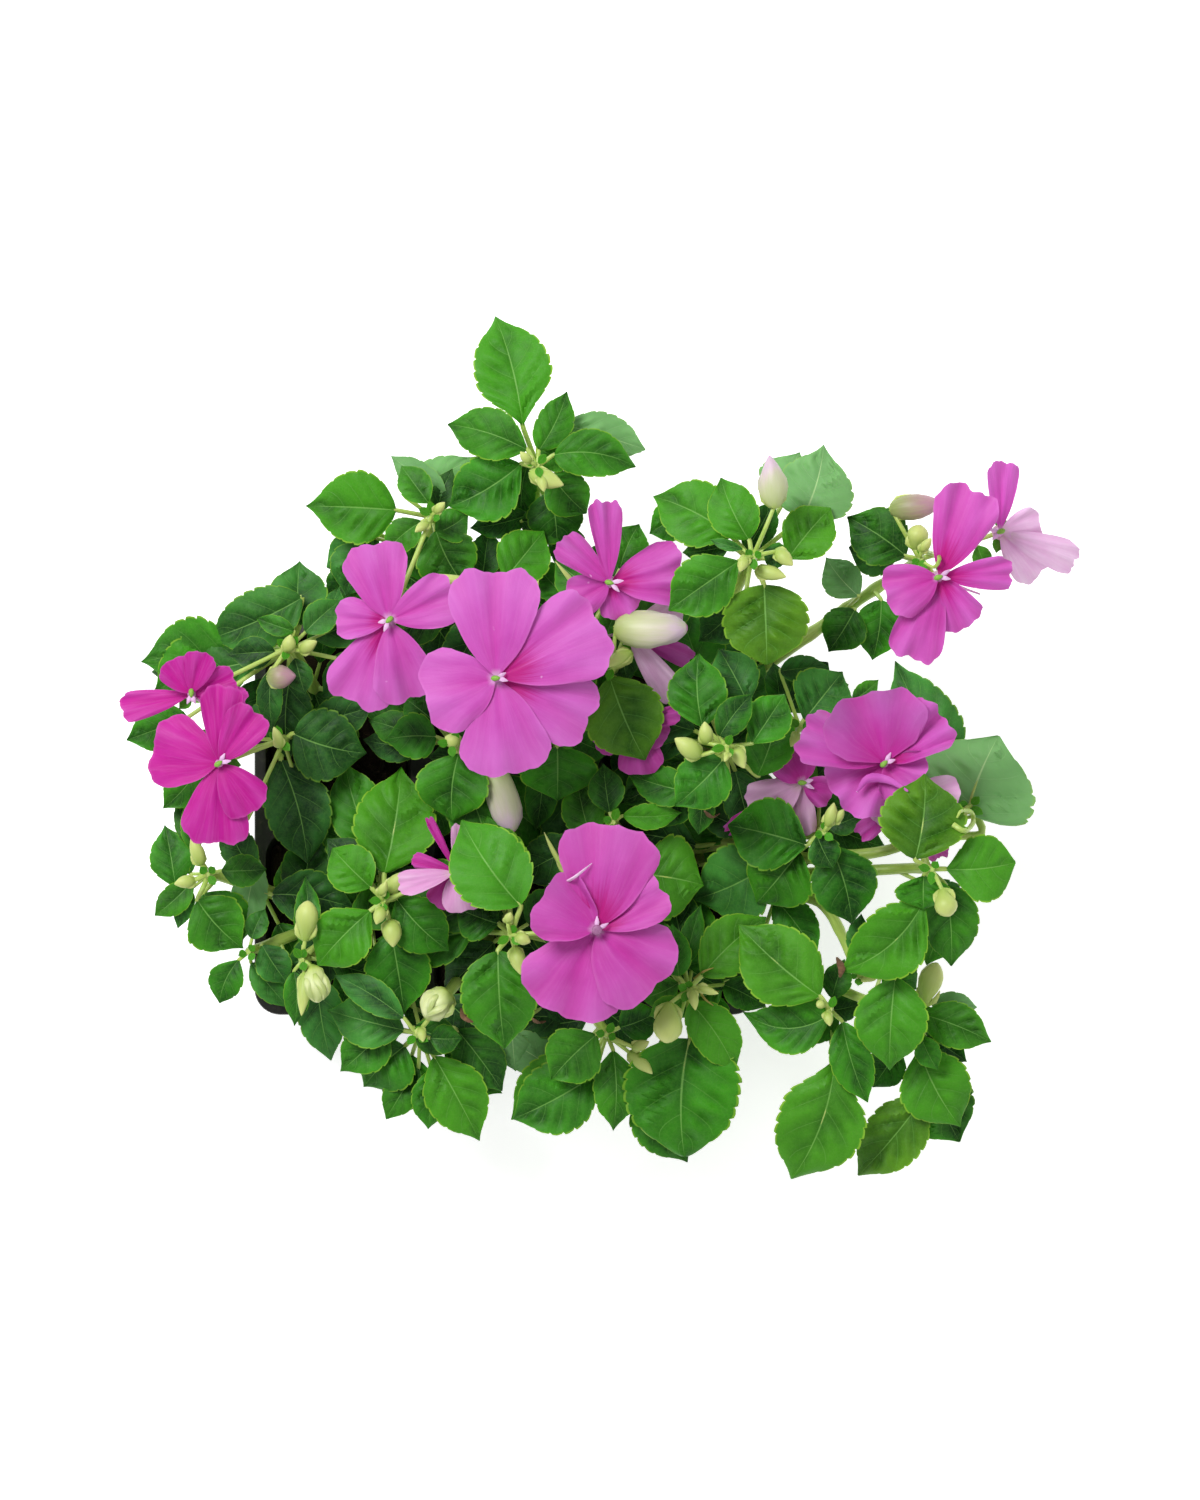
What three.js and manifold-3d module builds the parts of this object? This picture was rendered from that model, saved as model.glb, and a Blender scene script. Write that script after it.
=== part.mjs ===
// Busy lizzie (Impatiens) bedding plants in a six-cell nursery pack.
//
// Millimetres, +Z up. X and Y are laid out from above with the whole spread of foliage round the
// origin, and z = 0 is the surface that the pack stands on. Six soil plugs fill the cells of the
// pack. Leafy stems stand in plain holes in the soil, lean out under the foliage and then rise to
// their shoots. Leaves, buds and blooms are listed shoot by shoot by where they lie in plan; the
// height of each follows from its shoot and its tier, and a blade that would lie in another one is
// lifted until it is clear of it.

import * as THREE from 'three';
import { mergeVertices } from 'three/addons/utils/BufferGeometryUtils.js';
import Module from 'manifold-3d';

// ---- driving dimensions ---------------------------------------------------------------------

const GAP = 0.3;                      // clearance between pieces that touch
const PACK = { x0: -107, x1: 49, y0: -82, y1: 39.2, corner: 8, rimTop: 50, rimThick: 1.2, lip: 6,
  cornerSteps: 2 };
const CELL = { columns: 3, rows: 2, wall: 1.1, floor: 1.2, corner: 9, rib: 5.5, draft: 5.5,
  cornerSteps: 1 };
const DRAIN_RADIUS = 4;
const SOIL = { bottom: 1.5, edge: 44, mound: 2.2 };
const HOLE = { radius: 3, floor: 33.7, sides: 4 };
const STEM = { foot: 34, collar: 49, baseRadius: 2.1, tipRadius: 1.2, sides: 4, joint: 0.5 };
const PETIOLE = { halfWidth: 0.8, thick: 1.5, keel: 1.2, rise: 0.35 };
const BLADE_THICK = 0.62;
const PETAL_THICK = 0.62;
const TIER_STEP = 6;                  // fall in height from one tier of leaves to the next
const LAYER_GAP = 1.0;                // clear height between blades that lie over each other
const LOW_ROUTE = 62;                 // height at which the stem of a near shoot turns up to it
const NEAR_SHOOT = 20;                // farthest that a near shoot stands from its root, in plan
const OUTWARD_RISE = 0.2;             // and how much higher, for each millimetre farther out
const MAP = { x0: -160, y0: -145, columns: 320, rows: 290, cell: 1 };
const LIFT_ROUNDS = 4;
const OWN_STEM = 4;                   // reach round a joint in which a stalk may touch its own stem
const JOINT_STEP = 1.5;               // least height between two joints on the upright part of a stem

// ---- the plant, in plan ---------------------------------------------------------------------
// A shoot: its name, root on the soil, place of its tip, height of its top leaves, and then
//   via     points that the stem passes on its way, where it doesn't run straight
//   leaves  [base x, base y, tip x, tip y, width, tier, back]; back is 1 on a blade that lies
//           with its underside up
//   buds    [base x, base y, tip x, tip y, width, height above the shoot, kind]

const SHOOTS = [
  { name: 'north', root: [-24, 17], tip: [-19, 86], top: 110,
    leaves: [
      [-22, 96, -32, 131.5, 24, 2], [-23, 90.5, -47, 99, 15, 1], [-18.5, 91, -10, 109, 11, 1],
      [-11, 98, 13, 91, 12, 3, 1], [-14, 86, 10.5, 84.5, 13, 1], [-24, 87, -46, 74, 20, 2],
      [-15, 84, -4, 72, 14, 2], [-15, 79, -13, 61, 17, 4],
    ],
    buds: [[-21, 84, -11, 80, 6, 3, 0]] },
  { name: 'north_west', root: [-74, 17], tip: [-51, 71], top: 106,
    leaves: [
      [-58, 72, -90, 75, 22, 2], [-52, 75, -60.5, 86.5, 10, 1], [-47, 78, -63, 88.5, 8, 3, 1],
      [-54, 69.5, -65.5, 60, 10, 1], [-50, 67, -41, 50, 19, 2], [-70, 65, -78, 47, 16, 4],
    ],
    buds: [] },
  { name: 'west_north', root: [-86, 15], tip: [-95, 31], top: 98,
    leaves: [
      [-94, 41, -120, 35, 20, 2], [-104, 28, -138, 24, 20, 3], [-93, 36, -104.5, 40, 6, 0],
      [-99, 30, -114, 29, 10, 1], [-93, 28, -90, 17, 8, 1], [-100, 25, -100, 6, 8, 2],
      [-90, 36, -79, 46, 10, 2],
    ],
    buds: [] },
  { name: 'west', root: [-88, 5], tip: [-97, 3], top: 84,
    leaves: [[-94, 5, -71.5, -1, 22, 1], [-98, -3, -90, -35, 20, 2], [-101, 6, -115, 12, 10, 2]],
    buds: [] },
  { name: 'south_west_top', root: [-89, -48], tip: [-120, -38], top: 80,
    leaves: [
      [-124, -33, -125, -13, 7, 1], [-126, -38, -133, -24, 8, 2], [-116, -37, -102, -36.5, 10, 0],
      [-120, -43, -107.5, -58.5, 17, 1], [-126, -43, -130, -55, 6, 2],
    ],
    buds: [[-122, -35, -125, -27, 4.5, 3, 0]] },
  { name: 'south_west_low', root: [-89, -55], tip: [-108, -62], top: 76,
    leaves: [
      [-109, -65, -115.5, -77.5, 9, 1], [-106, -66, -96, -79, 9, 2, 1], [-107, -58, -103, -49, 7, 1],
    ],
    buds: [] },
  { name: 'west_centre', root: [-74, -49], tip: [-66, -46], top: 94,
    leaves: [
      [-70, -49, -86.5, -66, 18, 1], [-70, -42, -82, -30, 15, 2], [-66, -38, -61, -5, 25, 2],
      [-64, -55, -60, -81, 20, 3], [-62, -45.5, -46, -61.5, 17, 1],
    ],
    buds: [[-65, -43, -59, -37, 5, -2, 0], [-64, -52, -63, -60, 6, -2, 0]] },
  { name: 'south_west', root: [-84, -59], tip: [-91, -64], top: 84,
    leaves: [[-91, -60, -90.5, -38.5, 8, 1], [-94, -68, -94, -85, 8, 2], [-88, -71, -84, -95, 12, 3]],
    buds: [[-90, -58, -89, -46, 7, 4, 0], [-88, -66, -86, -77, 7, 3, 1]] },
  { name: 'south_south_west', root: [-34, -58], tip: [-56, -87], top: 84,
    leaves: [
      [-60, -86, -84, -80, 16, 2], [-60, -91, -73, -104, 20, 3], [-60, -82, -81.5, -69, 10, 1],
      [-58, -94, -61, -113, 16, 4], [-51, -94, -37, -120.5, 19, 2], [-52, -88, -42, -88, 9, 0],
      [-48, -92, -30, -106, 12, 3],
    ],
    buds: [[-46, -74, -53, -82, 9, 3, 1]] },
  { name: 'south_centre', root: [-29, -50], tip: [-27, -56], top: 106,
    leaves: [
      [-31, -61, -29, -91, 23, 1], [-31, -53, -44, -48, 15, 3], [-24, -47, -42, -21, 24, 1],
      [-22, -53, -12, -43, 11, 2],
    ],
    buds: [[-26, -60, -24, -68, 5, 0, 0]] },
  { name: 'south', root: [-22, -57], tip: [2, -87], top: 84,
    leaves: [
      [-1, -87, -15, -101, 18, 0], [-3, -95, -27.5, -114, 19, 2], [4, -92, 4, -117, 14, 1],
      [6, -85, 18, -80, 12, 1], [-4, -83, -21, -86, 14, 3], [-12, -99, -31, -90, 9, 3, 1],
    ],
    buds: [] },
  { name: 'south_east_centre', root: [21, -60], tip: [27, -73], top: 94,
    leaves: [
      [28, -77, 42, -98, 16, 1], [27, -87, 25, -121, 33, 2], [20, -99, 25, -125, 19, 3],
      [24, -71, 12, -76, 11, 1], [25, -76, 15, -81, 8, 0], [24, -69, 22, -53, 9, 1],
      [31, -69, 51, -51, 17, 1], [38, -72, 51, -79, 10, 3], [26, -66, 31, -47, 7, 2],
    ],
    buds: [[21, -77, 20, -89, 9, 0, 0]] },
  { name: 'south_east', root: [29, -61], tip: [70, -79], top: 92,
    leaves: [
      [67, -75, 42, -53, 24, 0], [68, -82, 43.5, -82, 15, 1], [71, -88, 58.5, -131, 27, 2],
      [74, -83, 82, -108, 13, 1], [71, -76, 75, -64, 9, 2],
    ],
    buds: [] },
  { name: 'east_south', root: [33, -47], tip: [79, -69], top: 94,
    via: [[66, -45], [74, -56]],
    leaves: [[90, -69, 88.5, -98, 22, 1], [77, -62, 80, -50, 7, 2]],
    buds: [] },
  { name: 'far_south_east', root: [33, -54], tip: [97, -82], top: 80,
    via: [[74.5, -74]],
    leaves: [
      [99, -81, 120, -89.5, 14, 0], [98, -87, 103.5, -98, 8, 0], [98, -92, 111, -116, 22, 1],
      [95, -102, 79.5, -131.5, 22, 2], [101, -77, 116, -79, 9, 1, 1],
    ],
    buds: [[99, -78, 103, -65, 7.5, 4, 0]] },
  { name: 'east', root: [33, -40], tip: [100, -36], top: 118,
    leaves: [
      [95, -33, 98, -7, 26, 1], [104, -35, 125, -38, 20, 1], [98, -38, 98, -48.5, 17, 2],
      [105, -40, 104, -64, 17, 3], [98, -46, 72.5, -67.5, 23, 2],
    ],
    buds: [[103, -42, 105, -50, 7, 2, 0]] },
  { name: 'far_east', root: [29, -34], tip: [113, -17], top: 92,
    via: [[84, -32], [103, -26], [118, -26]],
    leaves: [[109, -16, 122, 3, 29, 1, 1], [104, 5, 90.5, 27, 17, 2]],
    buds: [] },
  { name: 'east_centre', root: [22, -31], tip: [68, -25], top: 98,
    leaves: [
      [70, -29, 77, -53.5, 20, 1], [66, -26, 71, -36, 10, 0], [63, -29, 39, -23, 22, 2],
      [61, -31, 48, -47, 22, 3], [52, -35, 29, -46, 24, 4],
    ],
    buds: [] },
  { name: 'centre_east', root: [27, 1], tip: [38, 1], top: 118,
    leaves: [
      [31, 7, 30, 29.5, 18, 1], [36, 4, 46, 17, 10, 0], [46, 2, 56, 17, 14, 1],
      [37, -3, 22.5, -17, 17, 0], [45, 14, 36, 31, 15, 3], [30, -13, 8, -7, 12, 4],
      [31, -12, 30, -26, 8, 4],
    ],
    buds: [
      [32, 2, 31.5, 8.5, 4.5, 4, 0], [30, -2, 22.5, 3.5, 6, 4, 0], [41, 1, 43.5, -5.5, 4.5, 3, 0],
    ] },
  { name: 'north_east', root: [26, 18], tip: [46, 58], top: 122,
    leaves: [
      [40, 64.5, 16, 77, 20, 2], [45, 63.5, 36.5, 82.5, 15, 1], [42, 57, 20.5, 42, 18, 1],
      [49, 50, 50, 25.6, 24, 1], [49, 60, 57, 57, 8, 0], [60, 72, 69, 92, 22, 3, 1],
      [57, 58, 69, 74, 15, 2], [39, 62, 25, 60, 9, 3], [43, 60.5, 33, 63.5, 3.4, 0],
      [44, 46, 30, 33, 15, 4],
    ],
    buds: [
      [52.5, 73, 51, 88.5, 8.5, 1, 1], [47, 54, 56, 52, 4.6, 1, 0], [53, 60, 58, 55.5, 4.6, 1, 0],
    ] },
  { name: 'far_north_east', root: [32, 13], tip: [97, 58], top: 106, low: 74,
    via: [[58, 31], [78, 45]],
    leaves: [
      [93, 59, 75, 71, 18, 1], [78, 48, 70, 59, 9, 3, 1], [78, 43, 69.5, 31, 12, 4],
      [86, 46, 83, 28.5, 13, 4], [115, 62, 119, 54, 6, 2],
    ],
    buds: [[95, 61, 97, 68, 6.5, 3, 0], [88, 73, 104, 75, 8, 1, 2]] },
  { name: 'east_north', root: [33, 6], tip: [61, 7], top: 100,
    leaves: [
      [62, 9, 74, 24, 20, 1], [55, 24, 70, 25.5, 8, 2], [67, 18, 76, 20, 8, 2],
      [77, 15, 85, 21.5, 6, 2], [55, 13, 53, 27, 8, 3],
    ],
    buds: [] },
  { name: 'south_of_centre', root: [16, -43], tip: [4, -22], top: 98,
    leaves: [
      [3, -19, 1, -4, 11, 1], [7, -20, 25, -19, 8, 1], [-3, -26, -7, -9, 13, 2],
      [12, -38, 32, -41.5, 26, 3],
    ],
    buds: [] },
  { name: 'centre', root: [14, 13], tip: [4, 25], top: 110,
    leaves: [[3, 22, 13.8, -3.2, 24, 1]],
    buds: [[4.5, 37, 26.5, 37, 11, -5, 1], [9.5, 29.5, 0.5, 25, 5.5, -7, 0]] },
  { name: 'north_centre', root: [18, 20], tip: [2, 46], top: 104,
    leaves: [[6, 55, 12, 69, 13, 2], [-2, 49, -14, 58, 14, 2], [5, 42, 2, 35, 8, 2]],
    buds: [] },
  { name: 'under_centre', root: [-34, 15], tip: [-32, 48], top: 98,
    leaves: [[-29, 52, -17, 67, 17, 2], [-38, 46, -48, 38, 12, 3]],
    buds: [] },
  { name: 'centre_west', root: [-37, 6], tip: [-45, 2], top: 98,
    leaves: [[-43, -1, -45, -22, 22, 1], [-50, 4, -66, 3, 14, 2], [-50, 8, -60, 16, 12, 3]],
    buds: [[-43, 2, -47, 4, 5, 3, 0], [-33, -5, -26.5, -25, 10, -11, 1]] },
  { name: 'below_centre', root: [-22, 4], tip: [-12, 3], top: 92,
    leaves: [[-13, 1, -13, -15.5, 24, 1], [-9, 4, 3, -1, 10, 2], [-18, -4, -20, -25, 10, 3]],
    buds: [] },
];

// A bloom: its shoot, the middle of its throat, height, and its petals as
//   [tip x, tip y, width, rise of the tip, roll of the blade across its width]
const BLOOMS = [
  { name: 'west_upper', shoot: 'west_north', eye: [-123.5, 17], height: 106,
    petals: [[-145, 12.5, 9.5, -1, 0.2], [-130, 27, 11, 4, 0.1], [-120, 29.5, 10, 5, 0],
      [-110.5, 22, 10, 2, 0.2], [-107, 14.5, 9, 0, -0.2]] },
  { name: 'west_lower', shoot: 'west', eye: [-115, -4], height: 111,
    petals: [[-136, -1, 20, -2, 0], [-114, 19.5, 12, 3, 0], [-104, 13, 13, 3, 0.1],
      [-117, -28.5, 20, -3, 0], [-106, -20.5, 11, -1, 0]] },
  { name: 'north_west', shoot: 'north_west', eye: [-63.5, 39], height: 122,
    petals: [[-69, 62, 19, 3, 0], [-43.5, 47, 17, 3, 0], [-57, 15, 19, -2, 0],
      [-79.5, 40, 13, -1, 0], [-74.5, 14, 21, -3, 0]] },
  { name: 'centre', shoot: 'under_centre', eye: [-31, 21.5], height: 134,
    petals: [[-32, 54, 27, 3, 0], [0.5, 38, 27, 2, 0], [-2.5, 9.5, 22, -2.5, 0],
      [-27.5, -7.5, 26, -2, 0], [-53, 16, 25, -1, 0]] },
  { name: 'north', shoot: 'north_centre', eye: [3, 50.5], height: 112,
    petals: [[1, 75, 13, 6, 0.1], [25.5, 54.5, 19, 1, 0], [-12, 63, 11, 4, 0.4],
      [-9, 45, 13, 1, 0], [8, 40.5, 13, -1, 0]] },
  { name: 'south_centre', shoot: 'south_centre', eye: [-1, -54], height: 124,
    petals: [[4, -22.5, 29, 4, 0], [-17.5, -43, 22, 6, 0.3], [-13, -79.5, 30, -3, 0],
      [18, -71, 28, -2, 0], [18.5, -41, 18, 3, -0.2]] },
  { name: 'east', shoot: 'east_north', eye: [86, -4], height: 108,
    petals: [[80, 17.5, 30, 12, 0], [60.5, 5, 15, 7, 0.3], [73, -15.5, 19, 2, 0],
      [103, 11, 19, 11, 0], [97, -11, 18, 4, 0]] },
  { name: 'east_behind', shoot: 'east', eye: [94, -14], height: 94,
    petals: [[109, -17, 17, 4, 0.3], [82, -19, 12, 0, 0], [79, -26, 7, -4, 0.3],
      [104, -33, 8, -5, 0.4]] },
  { name: 'east_low', shoot: 'east_centre', eye: [62, -10], height: 82,
    petals: [[57, 1, 15, 2, 0], [46, -19, 15, -2, 0], [39, -25, 6, -4, 0.4],
      [60, -26, 12, -6, 0.2], [71, -14, 10, -2, 0]] },
  { name: 'far_north_east', shoot: 'far_north_east', eye: [102, 52], height: 120,
    petals: [[115.5, 78, 22.5, 4, 0], [86, 47, 17, 1, 0], [95, 27, 17, -2, 0],
      [109, 36, 13, -2, 0.3], [124, 54, 12, 0, 0.3]] },
  { name: 'far_north_east_back', shoot: 'far_north_east', eye: [121, 66], height: 108,
    petals: [[122, 87, 9.5, 5, 0.4], [144.5, 58, 16, -6, 0.5], [131, 57, 14, -8, 0.2]] },
  { name: 'west_centre', shoot: 'west_centre', eye: [-43.5, -37], height: 93,
    petals: [[-61, -41, 8, 1, 0.3], [-40, -49, 14, -3, 0.1], [-42, -22.5, 6, 3, 0.3],
      [-52, -20.5, 3, 5, 0], [-57, -33, 5, -2, 0], [-50, -47.5, 9, -6, 0]] },
  { name: 'centre_back', shoot: 'centre', eye: [8, 36], height: 100,
    petals: [[22.5, 16, 9.5, -5, 0.3], [24.5, 43.5, 9, -4, 0.2], [28, 27.5, 7, -8, 0.3]] },
  { name: 'centre_hidden', shoot: 'centre', eye: [11, 8], height: 96,
    petals: [[13, -7.5, 14, -3, 0], [-1.5, 1.5, 10, -2, 0], [20.5, 4, 10, -2, 0],
      [24, 11, 6, 0, 0]] },
];

// ---- small helpers --------------------------------------------------------------------------

// A number from 0 to 1 that depends only on the item and on what it is used for.
function chance(item, use) {
  let bits = (Math.imul(item, 374761393) + Math.imul(use, 668265263)) | 0;
  bits = Math.imul(bits ^ (bits >>> 13), 1274126177);
  return ((bits ^ (bits >>> 16)) >>> 0) / 4294967296;
}

const lerp = (a, b, t) => a + (b - a) * t;
const planDistance = (a, b) => Math.hypot(a[0] - b[0], a[1] - b[1]);

// The direction in plan from a to b, or "fallback" where they are too close to give one.
function planDirection(a, b, fallback) {
  const length = planDistance(a, b);
  return length < 0.5 ? fallback : [(b[0] - a[0]) / length, (b[1] - a[1]) / length];
}

function cross(a, b) {
  return [a[1] * b[2] - a[2] * b[1], a[2] * b[0] - a[0] * b[2], a[0] * b[1] - a[1] * b[0]];
}

function unit(v) {
  const length = Math.hypot(v[0], v[1], v[2]);
  return [v[0] / length, v[1] / length, v[2] / length];
}

// ---- closed bodies as points and triangles ----------------------------------------------------

// Rings of equal count joined along their length, with flat caps.
function loft(rings) {
  const count = rings[0].length;
  const points = rings.flat();
  const faces = [];
  for (let ring = 0; ring < rings.length - 1; ring += 1) {
    for (let i = 0; i < count; i += 1) {
      const a = ring * count + i;
      const b = ring * count + ((i + 1) % count);
      faces.push([a, b, b + count], [a, b + count, a + count]);
    }
  }
  const last = (rings.length - 1) * count;
  for (let i = 1; i < count - 1; i += 1) {
    faces.push([0, i + 1, i], [last, last + i, last + i + 1]);
  }
  return { points, faces };
}

// A round bar along a path, each ring square to the path.
function bar(path, radii, sides) {
  let across = [1, 0, 0];
  const rings = path.map((point, k) => {
    const before = path[Math.max(0, k - 1)];
    const after = path[Math.min(path.length - 1, k + 1)];
    const along = unit([after[0] - before[0], after[1] - before[1], after[2] - before[2]]);
    if (k === 0 && Math.abs(along[0]) > 0.9) across = [0, 1, 0];
    const up = unit(cross(along, across));
    across = cross(up, along);
    return Array.from({ length: sides }, (_, i) => {
      const angle = (2 * Math.PI * i) / sides;
      const c = Math.cos(angle) * radii[k];
      const s = Math.sin(angle) * radii[k];
      return [0, 1, 2].map((axis) => point[axis] + c * across[axis] + s * up[axis]);
    });
  });
  return loft(rings);
}

// A thin shell: its upper faces, the same triangles again on the points that "underOf" gives, and
// a wall round "loop", the outline of the upper side taken counter-clockwise as seen from above.
function shell(upper, loop, underOf) {
  const top = [...new Set(upper.flat())];
  const indexOf = new Map(top.map((point, i) => [point, i]));
  const count = top.length;
  const points = [...top, ...top.map(underOf)];
  const faces = [];
  for (const face of upper) {
    const [a, b, c] = face.map((point) => indexOf.get(point));
    faces.push([a, b, c], [a + count, c + count, b + count]);
  }
  loop.forEach((point, i) => {
    const a = indexOf.get(point);
    const b = indexOf.get(loop[(i + 1) % loop.length]);
    faces.push([a, b + count, b], [a, a + count, b + count]);
  });
  return { points, faces };
}

// Triangles between an edge and the midrib, taken in step along their lengths. "side" is 1 where
// the edge lies to the left of the midrib and -1 where it lies to the right.
function between(edge, rib, side) {
  const faces = [];
  let i = 0;
  let j = 0;
  while (i < edge.length - 1 || j < rib.length - 1) {
    const takeEdge = j === rib.length - 1
      || (i < edge.length - 1 && (i + 1) / (edge.length - 1) <= (j + 1) / (rib.length - 1));
    const face = takeEdge ? [edge[i], edge[i + 1], rib[j]] : [edge[i], rib[j + 1], rib[j]];
    if (takeEdge) i += 1;
    else j += 1;
    if (new Set(face).size === 3) faces.push(side > 0 ? [face[0], face[2], face[1]] : face);
  }
  return faces;
}

// Triangles across a narrow blade from its right edge to its left one; both end in the same tip.
function fan(right, left) {
  const faces = [];
  for (let k = 0; k < right.length - 1; k += 1) {
    faces.push([left[k], right[k], right[k + 1]]);
    if (k < right.length - 2) faces.push([left[k], right[k + 1], left[k + 1]]);
  }
  return faces;
}

// ---- leaves -----------------------------------------------------------------------------------

// Edge stations of a leaf, from base to tip, and how far each stands out: teeth and notches.
const LARGE_EDGE = [[0.12, 1.0], [0.27, 1.07], [0.36, 0.93], [0.52, 1.07], [0.62, 0.91], [0.78, 1.08],
  [0.87, 0.85]];
const MIDDLE_EDGE = [[0.13, 1.0], [0.34, 1.06], [0.48, 0.93], [0.66, 1.08], [0.83, 0.86]];
const SMALL_EDGE = [[0.15, 1.0], [0.42, 1.05], [0.74, 0.95]];
const TINY_EDGE = [[0.22, 1.0], [0.62, 1.0]];
const LARGE_WIDTH = 24;
const MIDDLE_WIDTH = 17;
const SMALL_WIDTH = 10;
const TIP_START = 0.78;               // share of a leaf's length at which its tip is drawn out
const TIP_DRAW = 1.9;

function shapeLeaf(entry, shoot, item) {
  const [x0, y0, x1, y1, width, tier, back] = entry;
  const length = Math.hypot(x1 - x0, y1 - y0);
  const spread = chance(item, 3) - 0.5;
  return {
    base: [x0, y0],
    along: [(x1 - x0) / length, (y1 - y0) / length],
    length,
    width,
    tier,
    back: back === 1,
    height: shoot.top - TIER_STEP * tier,
    arch: 0.05 + 0.04 * chance(item, 1),
    droop: length * (0.1 + 0.05 * tier + 0.1 * chance(item, 2)),
    roll: 0.24 * spread,
    fold: back === 1 ? -0.1 : 0.16 + 0.1 * chance(item, 4),
    bow: 0.05 * (chance(item, 5) - 0.5),
    phase: chance(item, 6),
    shoulder: 0.52 + 0.32 * chance(item, 7),
    taper: 0.76 + 0.16 * chance(item, 10),
  };
}

// Half the width of a leaf at a share s of its length: a rounded or wedge-shaped base and a
// drawn-out tip.
function leafHalf(leaf, s) {
  const { shoulder, taper } = leaf;
  const widest = shoulder / (shoulder + taper);
  const fullest = Math.pow(widest, shoulder) * Math.pow(1 - widest, taper);
  const body = Math.pow(s, shoulder) * Math.pow(1 - s, taper) / fullest;
  const drawn = s > TIP_START ? 1 - TIP_DRAW * (s - TIP_START) : 1;
  return 0.5 * leaf.width * body * drawn;
}

// A point of the upper face: s along the midrib, t across from -1 to 1.
function leafPoint(leaf, s, t, tooth, lift) {
  const half = leafHalf(leaf, s) * tooth;
  const side = t * half + leaf.bow * leaf.length * 4 * s * (1 - s);
  const forward = leaf.length * s;
  const wave = 0.035 * leaf.width * Math.sin(2 * Math.PI * (1.6 * s + leaf.phase)) * t * t;
  const z = leaf.height + lift
    + leaf.arch * leaf.length * 4 * s * (1 - s) - leaf.droop * Math.pow(s, 1.5)
    + (leaf.fold * Math.abs(t) - 0.18 * t * t + leaf.roll * t) * half + wave;
  return [
    leaf.base[0] + leaf.along[0] * forward - leaf.along[1] * side,
    leaf.base[1] + leaf.along[1] * forward + leaf.along[0] * side,
    z,
  ];
}

// One body of petiole and blade. The petiole is a three-sided stalk that starts inside the stem at
// "joint"; on the smallest leaves it widens straight into the blade.
function leafBody(leaf, lift, joint) {
  const tiny = leaf.width < SMALL_WIDTH;
  let edge = tiny ? TINY_EDGE : SMALL_EDGE;
  let stations = tiny ? [] : [0.45];
  if (leaf.width >= MIDDLE_WIDTH) {
    edge = MIDDLE_EDGE;
    stations = [0.3, 0.62];
  }
  if (leaf.width >= LARGE_WIDTH) {
    edge = LARGE_EDGE;
    stations = [0.25, 0.5, 0.75];
  }
  const at = (share, t, tooth) => leafPoint(leaf, share, t, tooth, lift);
  const foot = at(0, 0, 1);
  const tip = at(1, 0, 1);
  const beside = ([x, y, z], [ax, ay], t) => [x - ay * t, y + ax * t, z];
  const start = [joint[0], joint[1], joint[2] + 0.5 * PETIOLE.thick];
  const toFoot = planDirection(joint, foot, leaf.along);
  const outline = (t) => [
    beside(start, toFoot, t * PETIOLE.halfWidth),
    ...(tiny ? [] : [beside(foot, leaf.along, t * PETIOLE.halfWidth)]),
    ...edge.map(([share, tooth]) => at(share, t, tooth)),
    tip,
  ];
  const left = outline(1);
  const right = outline(-1);
  const rib = [...stations.map((share) => at(share, 0, 1)), tip];
  const upper = tiny ? fan(right, left) : [
    [left[0], right[0], right[1]], [left[0], right[1], left[1]], [left[1], right[1], rib[0]],
    ...between(right.slice(1), rib, -1), ...between(left.slice(1), rib, 1),
  ];
  const loop = [...right, ...left.slice(0, -1).reverse()];
  const under = new Map();
  for (const point of [left[0], right[0]]) under.set(point, [start[0], start[1], start[2] - PETIOLE.thick]);
  if (!tiny) {
    for (const point of [left[1], right[1]]) under.set(point, [foot[0], foot[1], foot[2] - PETIOLE.keel]);
  }
  const drop = BLADE_THICK * Math.hypot(1, leaf.droop / leaf.length, leaf.roll + 0.1);
  return shell(upper, loop, (point) => under.get(point) ?? [point[0], point[1], point[2] - drop]);
}

// ---- petals, blooms and buds ------------------------------------------------------------------

// The outline of a petal: share of its reach, share of its half angle, for each edge station.
const PETAL_EDGE = [[0.45, 1], [0.74, 1], [0.96, 0.7], [1.03, 0.36]];
const NARROW_PETAL_EDGE = [[0.48, 1], [0.86, 0.86], [1.02, 0.42]];
const NARROW_PETAL = 18.5;
const PETAL_NOTCH = 0.95;
const PETAL_CHORD = 1.5;              // twice the share of its reach at which a petal is widest
const PETAL_STEP = 1.1;               // height from one petal of a bloom to the next over it
const THROAT_DEPTH = 6;

function shapePetal(entry, bloom, item, order) {
  const [x1, y1, width, rise, roll] = entry;
  const dx = x1 - bloom.eye[0];
  const dy = y1 - bloom.eye[1];
  const reach = Math.hypot(dx, dy);
  return {
    eye: bloom.eye,
    along: [dx / reach, dy / reach],
    reach,
    width,
    half: Math.asin(Math.min(0.95, width / (PETAL_CHORD * reach))),
    rise,
    roll,
    height: bloom.height + PETAL_STEP * order,
    crown: 0.06,
    ruffle: 0.3 + 0.4 * chance(item, 21 + order),
    phase: chance(item, 31 + order),
  };
}

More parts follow.
